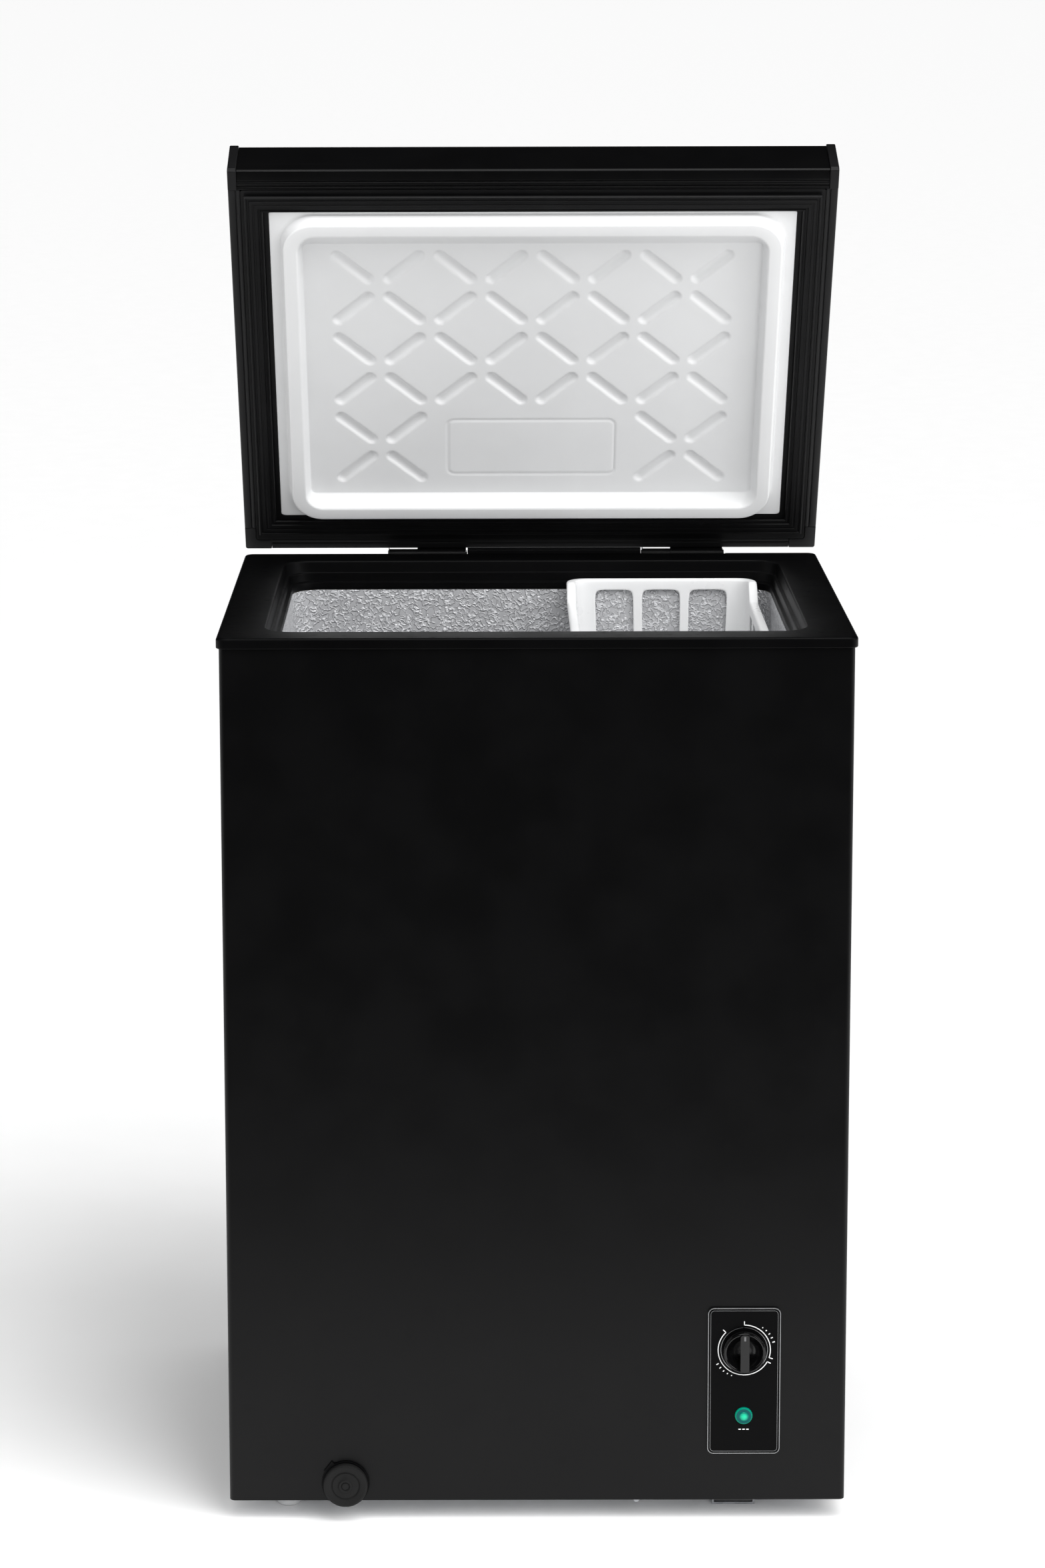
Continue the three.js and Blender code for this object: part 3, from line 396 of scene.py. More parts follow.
POINTER_INK = Finish("grey_ink", (0.16, 0.16, 0.165), 0.5, 0.3, grain=0.3 * MM, depth=0.01 * MM,
                     mottle=0.05)
BEZEL_METAL = SheetMetal("bezel_metal", (0.36, 0.365, 0.37), 0.26, 0.5, 0.85, depth=0.005 * MM, mottle=0.06)
ZINC = SheetMetal("zinc_plate", (0.5, 0.51, 0.53), 0.34, 0.5, 0.9, depth=0.02 * MM, mottle=0.12)
ZINC_FINE = SheetMetal("zinc_fastener", (0.46, 0.47, 0.49), 0.3, 0.5, 0.9, depth=0.02 * MM, spangle=2 * MM)
COPPER = SheetMetal("copper_tube", (0.62, 0.3, 0.17), 0.3, 0.5, 1.0, depth=0.02 * MM, mottle=0.15)
STUCCO = Stucco("stucco_aluminium", (0.74, 0.745, 0.765), 0.4, 0.5, 0.3, depth=1.1 * MM, mottle=0.07)
FOAM = Foam("poured_foam", (0.74, 0.6, 0.3), 0.85)


# ---------------------------------------------------------------- surfaces


def soften(rows: Array, radius: float, steps: int = 4, closed: bool = False,
           across: tuple[int, int] = (0, 1)) -> Array:
    """Rounds the corners of a run of rows.

    Each corner is swapped for a short quadratic curve from a point before it to a point after it,
    each at the radius or just under half of the way to the neighbour, whichever is nearer.

    Args:
        rows: one row for each corner, of any number of values.
        radius: how far from the corner the curve starts, in metres.
        steps: how many stretches the curve has.
        closed: whether the last row joins the first.
        across: the two columns that distances are measured in.

    Returns:
        The longer run of rows.
    """
    before, after = np.roll(rows, 1, axis=0), np.roll(rows, -1, axis=0)
    columns = list(across)
    reach_in = np.linalg.norm((before - rows)[:, columns], axis=1)
    reach_out = np.linalg.norm((after - rows)[:, columns], axis=1)
    share_in = np.minimum(radius / np.maximum(reach_in, 1e-9), 0.48)[:, None]
    share_out = np.minimum(radius / np.maximum(reach_out, 1e-9), 0.48)[:, None]
    start, end = rows + (before - rows) * share_in, rows + (after - rows) * share_out
    if not closed:
        start[0] = end[0] = rows[0]
        start[-1] = end[-1] = rows[-1]
    t = np.linspace(0, 1, steps + 1)[None, :, None]
    curve = (1 - t) ** 2 * start[:, None] + 2 * t * (1 - t) * rows[:, None] + t**2 * end[:, None]
    if not closed:
        curve[0], curve[-1] = rows[0], rows[-1]
    return curve.reshape(-1, rows.shape[1])


def rect_loops(sections: Array, corner_steps: int = 8,
               stops: Sequence[Any] = ((), (), (), ())) -> Array:
    """Loops round rounded rectangles: a quarter circle at each corner, joined by straight sides.

    Args:
        sections: rows of x0, x1, y0, y1, corner radius and z.
        corner_steps: how many stretches a corner has.
        stops: where the right, rear, left and front sides have points of their own, as shares of
            the side's length, in one row for all sections or one for each.

    Returns:
        The points, by section and place round the loop.
    """
    x0, x1, y0, y1, r, z = (column[:, None] for column in sections.T)
    turn = np.radians(np.linspace(0, 90, corner_steps + 1))[None, :]
    centres = [(x1 - r, y0 + r), (x1 - r, y1 - r), (x0 + r, y1 - r), (x0 + r, y0 + r)]
    xs, ys = [], []
    for number, (cx, cy) in enumerate(centres):
        angle, last = turn + math.radians(90 * (number - 1)), math.radians(90 * number)
        next_x, next_y = centres[(number + 1) % 4]
        share = np.atleast_2d(stops[number])
        xs += [cx + r * np.cos(angle), cx + r * math.cos(last) + (next_x - cx) * share]
        ys += [cy + r * np.sin(angle), cy + r * math.sin(last) + (next_y - cy) * share]
    x, y = np.concatenate(xs, axis=1), np.concatenate(ys, axis=1)
    return np.stack([x, y, z + 0 * x], axis=-1)


class Axis(Enum):
    """Which way a turned or drawn-out shape's length runs."""

    RIGHT = "x"
    FORWARD = "-y"
    UP = "z"


def lay(first: Array, second: Array, along: Array, axis: Axis) -> Array:
    """Points from two cross values and a length.

    Args:
        first: x for an upright or forward length, y for a length to the right.
        second: y for an upright length, z for the others.
        along: the length.
        axis: which way the length runs.

    Returns:
        The points.
    """
    order = {Axis.RIGHT: (along, first, second), Axis.FORWARD: (first, -along, second),
             Axis.UP: (first, second, along)}
    return np.stack(order[axis], axis=-1)


@dataclass
class Sheet:
    """A grid of points that becomes a surface: its rows are joined in order, and so are its columns."""

    points: Array
    close_rows: bool = False
    close_columns: bool = True
    capped: bool = False
    drop: Array | None = None


def lathe(profile: Array, axis: Axis, centre: Point, sides: int = 48) -> Sheet:
    """A profile of radius and length turned a full circle about an axis.

    Args:
        profile: rows of radius and length.
        axis: which way the length runs.
        centre: the point that the length is measured from.
        sides: how many stretches the circle has.

    Returns:
        The sheet, with its ends drawn in where the radius is zero.
    """
    angle = np.linspace(0, 2 * math.pi, sides, endpoint=False)[None, :]
    radius, length = profile[:, :1], profile[:, 1:2] + 0 * angle
    points = lay(radius * np.cos(angle), radius * np.sin(angle), length, axis)
    return Sheet(points + np.array(centre))


def draw_out(outline: Array, axis: Axis, start: float, end: float, stops: int = 2) -> Sheet:
    """A closed outline drawn straight from one length to another, with flat ends.

    Args:
        outline: rows of the two cross values.
        axis: which way the length runs.
        start: the first length.
        end: the last length.
        stops: how many rows the length has.

    Returns:
        The sheet.
    """
    along = np.linspace(start, end, stops)[:, None] + 0 * outline[None, :, 0]
    cross = outline[None, :, :] + 0 * along[..., None]
    return Sheet(lay(cross[..., 0], cross[..., 1], along, axis), capped=True)


def box_sheet(x0: float, x1: float, y0: float, y1: float, z0: float, z1: float) -> Sheet:
    """A plain block between six planes."""
    corners = np.array([[x0, y0], [x1, y0], [x1, y1], [x0, y1]])
    return draw_out(corners, Axis.UP, z0, z1)


def tube(path: Array, radius: float, sides: int = 12) -> Sheet:
    """A round tube: circles set square to a path, each turned as little as it can be from the last.

    Args:
        path: the points that it follows.
        radius: the tube's radius.
        sides: how many stretches a circle has.

    Returns:
        The sheet, with flat ends.
    """
    tangent = np.gradient(path, axis=0)
    tangent /= np.linalg.norm(tangent, axis=1)[:, None]
    guide = np.array([0.31, 0.17, 0.94])
    side = np.cross(tangent, guide)
    side /= np.linalg.norm(side, axis=1)[:, None]
    other = np.cross(tangent, side)
    angle = np.linspace(0, 2 * math.pi, sides, endpoint=False)[None, :, None]
    points = path[:, None] + radius * (np.cos(angle) * side[:, None] + np.sin(angle) * other[:, None])
    return Sheet(points, capped=True)


def rounded_outline(x0: float, x1: float, y0: float, y1: float, radius: float, steps: int = 6) -> Array:
    """The points of one rounded rectangle in two cross values."""
    return rect_loops(np.array([[x0, x1, y0, y1, radius, 0.0]]), steps)[0, :, :2]


# ---------------------------------------------------------------- pieces


@dataclass
class Piece:
    """One finished piece of the freezer, gathered from sheets and then made into an object."""

    name: str
    body: str
    finish: Finish
    slot: str
    replaces: tuple[str, ...] = ()
    sheets: list[Sheet] = field(default_factory=list)
    bevel: float = 0.0
    bevel_steps: int = 2
    wall: float = 0.0
    subdivide: int = 0
    sharp_degrees: float = 35.0

    def add(self, *sheets: Sheet) -> "Piece":
        """Adds surfaces to the piece."""
        self.sheets.extend(sheets)
        return self

    def gather(self) -> tuple[Array, list[Any]]:
        """Numbers every sheet's points in one list and joins them with faces.

        Returns:
            The points and the faces.
        """
        points: list[Array] = []
        faces: list[Any] = []
        offset = 0
        for sheet in self.sheets:
            rows, columns = sheet.points.shape[:2]
            quads = grid_quads(rows, columns, sheet.close_rows, sheet.close_columns) + offset
            if sheet.drop is not None:
                quads = quads[~sheet.drop.reshape(-1)]
            faces.extend(quads.tolist())
            if sheet.capped:
                faces.append((offset + np.arange(columns)[::-1]).tolist())
                faces.append((offset + (rows - 1) * columns + np.arange(columns)).tolist())
            points.append(sheet.points.reshape(-1, 3))
            offset += rows * columns
        return np.concatenate(points), faces

    def make(self) -> bpy.types.Object:
        """Makes the object, merges its seams, turns its faces out and fixes it to its body.

        Returns:
            The object.
        """
        points, faces = self.gather()
        mesh = bpy.data.meshes.new(self.name)
        mesh.from_pydata(points.tolist(), [], faces)
        bm = bmesh.new()
        bm.from_mesh(mesh)
        bmesh.ops.remove_doubles(bm, verts=bm.verts, dist=MERGE_DISTANCE)
        bmesh.ops.dissolve_degenerate(bm, edges=bm.edges, dist=MERGE_DISTANCE / 10)
        bmesh.ops.recalc_face_normals(bm, faces=bm.faces)
        bm.to_mesh(mesh)
        bm.free()
        return self.dress(mesh)

    def dress(self, mesh: bpy.types.Mesh) -> bpy.types.Object:
        """Shades a mesh, adds the finishing modifiers and the material, and fixes it to its body.

        Args:
            mesh: the piece's mesh.

        Returns:
            The object.
        """
        mesh.shade_smooth()
        mesh.set_sharp_from_angle(angle=math.radians(self.sharp_degrees))
        mesh.materials.clear()
        mesh.materials.append(self.finish.material())
        made = bpy.data.objects.new(self.name, mesh)
        bpy.context.scene.collection.objects.link(made)
        if self.wall:
            solid = made.modifiers.new("wall", "SOLIDIFY")
            solid.thickness, solid.offset = abs(self.wall), math.copysign(1.0, self.wall)
            solid.use_even_offset = True
        if self.bevel:
            soft = made.modifiers.new("edges", "BEVEL")
            soft.width, soft.segments = self.bevel, self.bevel_steps
            soft.limit_method, soft.angle_limit = "ANGLE", math.radians(30)
            soft.harden_normals = True
            soft.use_clamp_overlap = True
        if self.subdivide:
            smooth = made.modifiers.new("smooth", "SUBSURF")
            smooth.levels = smooth.render_levels = self.subdivide
        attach(made, self.body)
        if self.replaces:
            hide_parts(*self.replaces)
        LOG.info("%s: %d faces on %s", self.name, len(mesh.polygons), self.body)
        return made


def grid_quads(rows: int, columns: int, close_rows: bool, close_columns: bool) -> Array:
    """Faces that join each point of a grid to its neighbours in the next row and column.

    Args:
        rows: how many rows of points there are.
        columns: how many points a row has.
        close_rows: whether the last row joins the first.
        close_columns: whether each row's last point joins its first.

    Returns:
        Four point numbers for each face.
    """
    row = np.arange(rows if close_rows else rows - 1)[:, None]
    column = np.arange(columns if close_columns else columns - 1)[None, :]
    next_row, next_column = (row + 1) % rows, (column + 1) % columns
    quads = [row * columns + column, row * columns + next_column, next_row * columns + next_column,
             next_row * columns + column]
    return np.stack(quads, axis=-1).reshape(-1, 4)


def formed_copy(node: str, body: str, finish: Finish, slot: str, bevel: float = 0.4 * MM,
                subdivide: int = 0) -> bpy.types.Object:
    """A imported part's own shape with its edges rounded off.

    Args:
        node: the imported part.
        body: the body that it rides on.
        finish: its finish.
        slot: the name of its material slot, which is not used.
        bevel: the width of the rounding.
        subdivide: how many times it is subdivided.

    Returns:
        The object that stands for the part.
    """
    mesh = frame["nodes"][node].data.copy()
    bm = bmesh.new()
    bm.from_mesh(mesh)
    bmesh.ops.remove_doubles(bm, verts=bm.verts, dist=1e-5)
    bmesh.ops.dissolve_limit(bm, angle_limit=math.radians(0.6), verts=bm.verts, edges=bm.edges)
    bm.to_mesh(mesh)
    bm.free()
    mesh.name = f"{node}_formed"
    piece = Piece(f"{node}_formed", body, finish, slot, (node,), bevel=bevel, subdivide=subdivide)
    return piece.dress(mesh)


def keep_node(node: str, finish: Finish) -> None:
    """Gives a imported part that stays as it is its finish.

    Args:
        node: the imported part.
        finish: its finish.
    """
    materials = frame["nodes"][node].data.materials
    materials.clear()
    materials.append(finish.material())


# ---------------------------------------------------------------- places


@dataclass(frozen=True)
class Box:
    """The lowest and highest corner of something, in metres."""

    x0: float
    x1: float
    y0: float
    y1: float
    z0: float
    z1: float

    @staticmethod
    def around(points: Array) -> "Box":
        """The box round some points."""
        low, high = points.min(axis=0), points.max(axis=0)
        return Box(*(float(value) for pair in zip(low, high) for value in pair))

    @property
    def middle(self) -> Point:
        """The box's middle."""
        return (self.x0 + self.x1) / 2, (self.y0 + self.y1) / 2, (self.z0 + self.z1) / 2

    def section(self, inset: float, radius: float, z: float) -> list[float]:
        """A row for rect_loops: the box's outline set in by a distance, at a height."""
        return [self.x0 + inset, self.x1 - inset, self.y0 + inset, self.y1 - inset, radius, z]


def mirrored(side: float, near: float, far: float, radius: float, z: float) -> list[float]:
    """A row for rect_loops that reaches as far to the left of the middle as to the right."""
    return [-side, side, near, far, radius, z]


def node_points(node: str) -> Array:
    """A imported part's points at rest.

    Args:
        node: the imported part.

    Returns:
        One row for each point.
    """
    vertices = frame["nodes"][node].data.vertices
    flat = np.zeros(len(vertices) * 3, np.float32)
    vertices.foreach_get("co", flat)
    return flat.reshape(-1, 3).astype(float)


def box_of(node: str) -> Box:
    """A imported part's box at rest."""
    return Box.around(node_points(node))


@dataclass(frozen=True)
class Swing:
    """The lid's hinge line, and how far the lid is open at rest."""

    y: float
    z: float
    angle: float

    @staticmethod
    def from_joint(name: str) -> "Swing":
        """The swing that a joint of the record describes."""
        joint = next(j for j in frame["joints"] if j["name"] == name)
        return Swing(joint["pos_m"][1], joint["pos_m"][2], math.radians(-joint["range_deg"][0]))

    def turn(self, points: Array, angle: float) -> Array:
        """Turns points about the hinge line.

        Args:
            points: the points.
            angle: how far, where a positive angle lifts the front.

        Returns:
            The turned points.
        """
        y, z = points[..., 1] - self.y, points[..., 2] - self.z
        c, s = math.cos(angle), math.sin(angle)
        return np.stack([points[..., 0], self.y + y * c + z * s, self.z - y * s + z * c], axis=-1)

    def opened(self, sheet: Sheet) -> Sheet:
        """A sheet of the shut lid, swung open."""
        return replace(sheet, points=self.turn(sheet.points, self.angle))

    def shut_box(self, node: str) -> Box:
        """A lid part's box as if the lid were shut."""
        return Box.around(self.turn(node_points(node), -self.angle))


SWING = Swing.from_joint("lid_hinge")


# ---------------------------------------------------------------- cabinet


@dataclass
class Cabinet:
    """The steel wrap, its pressed back, the rim moulding and the embossed well."""

    body: str = "cabinet"
    steel: float = 1 * MM
    corner: float = 5 * MM
    rim_corner: float = 8 * MM
    mouth_corner: float = 24 * MM
    well_corner: float = 26 * MM
    side_width: float = 40.5 * MM
    front_width: float = 30 * MM
    rear_width: float = 40 * MM
    upper_step: float = 11 * MM
    ledge_drop: float = 19 * MM
    collar_depth: float = 26 * MM
    collar_wall: float = 2.5 * MM
    fit: float = 0.3 * MM
    step_wall: float = 35 * MM
    liner_sheet: float = 0.8 * MM
    bead_height: float = 2.2 * MM
    bead_width: float = 9 * MM
    bead_spread: float = 105 * MM
    bead_low: float = 60 * MM
    bead_high: float = 110 * MM
    cross_half: float = 70 * MM
    back_step: float = 3 * MM
    well_fillet: float = 16 * MM
    floor_inset: float = 34 * MM

    def build(self) -> None:
        """Builds every piece of the cabinet's shell."""
        self.wrap()
        self.back()
        self.rim()
        self.well()
        keep_node("cabinet_insulation", FOAM)
        formed_copy("bottom_pan", self.body, ZINC, "zinc_steel", 0.3 * MM)

    def wrap(self) -> None:
        """The painted sheet round the front and sides, open at the back."""
        box = box_of("outer_wrap")
        turn = np.radians(np.linspace(0, 90, 9))

        def path(inset: float) -> Array:
            """The sheet's line round the front, from back left to back right.

            Args:
                inset: how far it is set in.

            Returns:
                The line's points.
            """
            r = self.corner - inset
            x1, y0 = box.x1 - inset, box.y0 + inset
            right = np.stack([x1 - r + r * np.sin(turn), y0 + r - r * np.cos(turn)], axis=-1)
            left = np.stack([box.x0 + box.x1 - right[::-1, 0], right[::-1, 1]], axis=-1)
            ends = np.array([[box.x0 + inset, box.y1]]), np.array([[x1, box.y1]])
            return np.concatenate([ends[0], left, right, ends[1]])

        outline = np.concatenate([path(0.0), path(self.steel)[::-1]])
        piece = Piece("cabinet_wrap", self.body, BLACK_PAINT, "cabinet_steel", ("outer_wrap",),
                      bevel=0.3 * MM)
        piece.add(draw_out(outline, Axis.UP, box.z0, box.z1)).make()

    def back(self) -> None:
        """The plated back: its beads stand out where the distance to their lines is small."""
        box, cover = box_of("rear_panel"), box_of("rear_vent_cover")
        edge, top = cover.x0 - self.fit, cover.z1 + self.fit
        xs, zs = (np.unique(np.concatenate([np.arange(low, high, self.back_step), [high, extra]]))
                  for low, high, extra in ((box.x0, box.x1, edge), (box.z0, box.z1, top)))
        x, z = np.meshgrid(xs, zs)
        from_middle = np.abs(x - box.middle[0])
        low, high = cover.z1 + self.bead_low, box.z1 - self.bead_high
        beyond = np.maximum(np.maximum(low - z, z - high), 0)
        upright = np.hypot(np.abs(from_middle - self.bead_spread), beyond)
        level = np.hypot(z - (low + high) / 2, np.maximum(from_middle - self.cross_half, 0))
        rise = np.clip(1 - np.minimum(upright, level) / self.bead_width, 0, 1)
        y = box.y1 + self.bead_height * rise**2 * (3 - 2 * rise)
        middle_x, middle_z = (xs[:-1] + xs[1:]) / 2, (zs[:-1] + zs[1:]) / 2
        gap = (middle_x[None, :] > edge) & (middle_z[:, None] < top)
        piece = Piece("back_panel", self.body, ZINC, "cabinet_steel", ("rear_panel",), wall=-self.steel)
        piece.add(Sheet(np.stack([x, y, z], axis=-1), close_columns=False, drop=gap)).make()
        columns = (box.x0 + 14 * MM, box.x1 - 14 * MM)
        levels = (box.z1 - 18 * MM, (box.z1 + cover.z1) / 2, cover.z1 + 22 * MM)
        self.screws("back_screws", box.y1, [(sx, sz) for sx in columns for sz in levels])

    def screws(self, name: str, y: float, places: Sequence[tuple[float, float]]) -> None:
        """Pan-head screws on the back, each a turned dome.

        Args:
            name: the group's name.
            y: the face that they sit on.
            places: the x and z of each.
        """
        dome = soften(np.array([[0, 2.1], [2.2, 1.9], [3.6, 0.7], [3.7, 0], [0, 0]]) * MM, 0.5 * MM, 3)
        dome[:, 1] *= -1
        piece = Piece(name, self.body, ZINC_FINE, "zinc_steel")
        for x, z in places:
            piece.add(lathe(dome, Axis.FORWARD, (x, y, z), 20))
        piece.make()

    def rim(self) -> None:
        """The black moulding: one profile of steps carried round the mouth, notched at the hinges."""
        box, well, wrap = box_of("rim_collar"), box_of("inner_liner"), box_of("outer_wrap")
        half, top, front, rear = box.x1, box.z1, box.y0, box.y1
        mouth = half - self.side_width
        mouth_front, mouth_rear = front + self.front_width, rear - self.rear_width
        well_half, well_front = well.x1 - self.liner_sheet, well.y0 + self.liner_sheet
        well_back = well.y1 - self.liner_sheet
        wall, r, wr, edge = self.collar_wall, self.mouth_corner, self.well_corner, 1.6 * MM
        side_in, front_in, rear_in = wrap.x1 - self.fit, wrap.y0 + self.fit, wrap.y1 - self.fit
        upper, ledge, lowest = top - self.upper_step, top - self.ledge_drop, well.z1 + self.fit
        skirt = wrap.z1 + self.fit

        def outer(inset: float, z: float) -> list[float]:
            """The ring's outer line, set in by a distance."""
            return mirrored(half - inset, front + inset, rear - inset, self.rim_corner - inset, z)

        def lining(grow: float, z: float) -> list[float]:
            """The line of the well's lining, grown by a distance."""
            return mirrored(well_half + grow, well_front - grow, well_back + grow, wr + grow, z)

        def lip(side: float, near: float, far: float, corner: float, z: float) -> list[float]:
            """The mouth's line, with each side moved by an amount in millimetres."""
            return mirrored(mouth + side * MM, mouth_front + near * MM, mouth_rear + far * MM,
                            r + corner * MM, z)

        ring = np.array([
            outer(0, skirt), outer(0, top - edge), outer(edge, top),
            lip(1, -1, 1, 1, top), lip(0, 0, 0, 0, top - 1 * MM),
            lip(-1.5, 3.5, -2, 0, upper), lip(-4.5, 7.5, -3, 0, upper), lip(-5, 8, -3, 0, ledge),
            lining(0, ledge), lining(0, lowest), lining(wall, lowest), lining(wall, ledge - wall),
            lip(0, 4.5, 0, 0, ledge - wall),
            mirrored(mouth + wall, mouth_front - wall, mouth_rear + wall, r + wall, top - wall),
            mirrored(side_in, front_in, rear_in, self.corner, top - wall),
            mirrored(side_in, front_in, rear_in, self.corner, skirt),
        ])
        clear, sliver = 1 * MM, 0.01 * MM
        notches = [(box_of(f"hinge_leaf_lower_{side}").x0 - clear, box_of(f"hinge_pin_{side}").x1 + clear)
                   for side in ("right", "left")]
        breaks = [x for low, high in notches for x in (high + sliver, high, low, low - sliver)]
        rows = soften(ring, 1.0 * MM, 3, True, (1, 5))
        x0, x1, radius = rows[:, 0:1], rows[:, 1:2], rows[:, 4:5]
        rear_stops = np.clip((x1 - radius - np.array(breaks)) / (x1 - x0 - 2 * radius), 0, 1)
        points = rect_loops(rows, 12, ((), rear_stops, (), ()))
        notch_y = rear_in - self.steel + self.fit
        x, y = points[..., 0], points[..., 1]
        inside = np.zeros(x.shape, bool)
        for low, high in notches:
            inside |= (x >= low - sliver / 2) & (x <= high + sliver / 2)
        points[..., 1] = np.where(inside & (y > notch_y), notch_y - (rear - y) * 0.5, y)
        piece = Piece("rim_moulding", self.body, BLACK_MOULDED, "black_plastic", ("rim_collar",))
        piece.add(Sheet(points, close_rows=True)).make()

    def well(self) -> None:
        """The embossed lining: loops run down the walls, in across the step, down and over the floor."""
        box, sheet = box_of("inner_liner"), self.liner_sheet
        step_left = box_of("compressor_base").x0 - self.step_wall
        step_top = box_of("rear_vent_cover").z1 + self.fit + self.step_wall

        def run(grow: float) -> Array:
            """The lining's sections from its floor up to its top.

            Args:
                grow: how far they are grown.

            Returns:
                The sections.
            """
            x0, x1, y0, y1, r, floor = box.section(sheet - grow, self.well_corner + grow,
                                                   box.z0 + sheet - grow)
            shelf, edge, inward = step_top - grow, step_left + grow, self.floor_inset
            rows = np.array([
                [x0 + inward, edge - inward, y0 + inward, y1 - inward, 4 * MM, floor],
                [x0, edge, y0, y1, r, floor],
                [x0, edge, y0, y1, r, shelf],
                [x0, x1, y0, y1, r, shelf],
                [x0, x1, y0, y1, r, box.z1],
            ])
            return soften(rows, self.well_fillet, 6, False, (1, 5))

        loops = rect_loops(np.concatenate([run(0.0), run(sheet)[::-1]]), 10)
        piece = Piece("well_lining", self.body, STUCCO, "stucco_aluminium", ("inner_liner",),
                      sharp_degrees=60)
        piece.add(Sheet(loops, capped=True)).make()


# ---------------------------------------------------------------- machinery


@dataclass
class Machinery:
    """What the compressor space holds, the feet, and the vented cover behind."""

    body: str = "cabinet"
    foot_profile: tuple[tuple[float, float], ...] = (
        (0, 0), (9.5, 0), (11, 1.5), (11, 4.5), (9.6, 6), (8, 9))
    shank: float = 8 * MM
    thread_pitch: float = 1.2 * MM
    bar_spread: float = 41 * MM
    bar_half: float = 9 * MM
    bar_sheet: float = 3 * MM

    def build(self) -> None:
        """Builds the machinery's pieces."""
        self.compressor()
        self.grommets()
        self.feet()
        for node, finish, slot in (
            ("compressor_base", ZINC, "zinc_steel"), ("rear_vent_cover", BLACK_PAINT, "cabinet_steel"),
            ("mains_inlet_gland", BLACK_MOULDED, "black_plastic"),
            ("foot_bracket_right", ZINC, "zinc_steel"),
            ("foot_block_right", GREY_RUBBER, "rubber"), ("base_bolt_left", ZINC_FINE, "zinc_steel"),
            ("base_bolt_right", ZINC_FINE, "zinc_steel"),
            ("compressor_relay_cover", BLACK_MOULDED, "black_plastic"),
        ):
            formed_copy(node, self.body, finish, slot, 0.35 * MM)
        for node in ("suction_tube", "discharge_tube", "filter_drier"):
            formed_copy(node, self.body, COPPER, "copper", 0.0, 1)

    def compressor(self) -> None:
        """The welded can, turned from a profile with a weld bead round it, on two pressed foot bars."""
        box = box_of("compressor")
        x, y, _ = box.middle
        height, radius = box.z1 - box.z0, (box.y1 - box.y0) / 2 / 1.03
        rows = np.array([[0, 0], [0.75, 0], [0.97, 0.08], [1, 0.24], [1, 0.51], [1.03, 0.52], [1.03, 0.57],
                         [1, 0.58], [0.97, 0.78], [0.82, 0.92], [0.4, 1], [0, 1]]) * [radius, height]
        piece = Piece("compressor_can", self.body, BLACK_ENAMEL, "compressor_paint", ("compressor",),
                      bevel=0.5 * MM)
        piece.add(lathe(soften(rows, 6 * MM, 4), Axis.UP, (x, y, box.z0), 72))
        for middle in (y - self.bar_spread, y + self.bar_spread):
            piece.add(box_sheet(box.x0, box.x1, middle - self.bar_half, middle + self.bar_half,
                                box.z0, box.z0 + self.bar_sheet))
        piece.make()

    def grommets(self) -> None:
        """The four rubber mounts, each a turned spool."""
        for number in range(1, 5):
            node = f"compressor_grommet_{number}"
            box = box_of(node)
            r, h = (box.x1 - box.x0) / 2, box.z1 - box.z0
            spool = np.array([[0, 0], [1, 0], [1, 0.33], [0.75, 0.5], [1, 0.67], [1, 1], [0, 1]]) * [r, h]
            x, y, _ = box.middle
            piece = Piece(f"{node}_formed", self.body, RUBBER, "rubber", (node,))
            piece.add(lathe(soften(spool, 0.8 * MM, 3), Axis.UP, (x, y, box.z0), 28)).make()

    def feet(self) -> None:
        """The round feet: a rounded base and a threaded shank, one turned profile each."""
        for node in ("foot_front_left", "foot_rear_left", "foot_rear_right"):
            box = box_of(node)
            x, y, _ = box.middle
            lower = np.array(self.foot_profile) * MM
            stops = np.arange(lower[-1, 1], box.z1, self.thread_pitch)
            thread = np.stack([self.shank - 0.35 * MM * (np.arange(len(stops)) % 2), stops], axis=-1)
            profile = np.concatenate([lower, thread, [[self.shank, box.z1], [0, box.z1]]])
            piece = Piece(f"{node}_formed", self.body, GREY_MOULDED, "grey_plastic", (node,))
            piece.add(lathe(soften(profile, 0.4 * MM, 2), Axis.UP, (x, y, box.z0), 36)).make()


# ---------------------------------------------------------------- controls


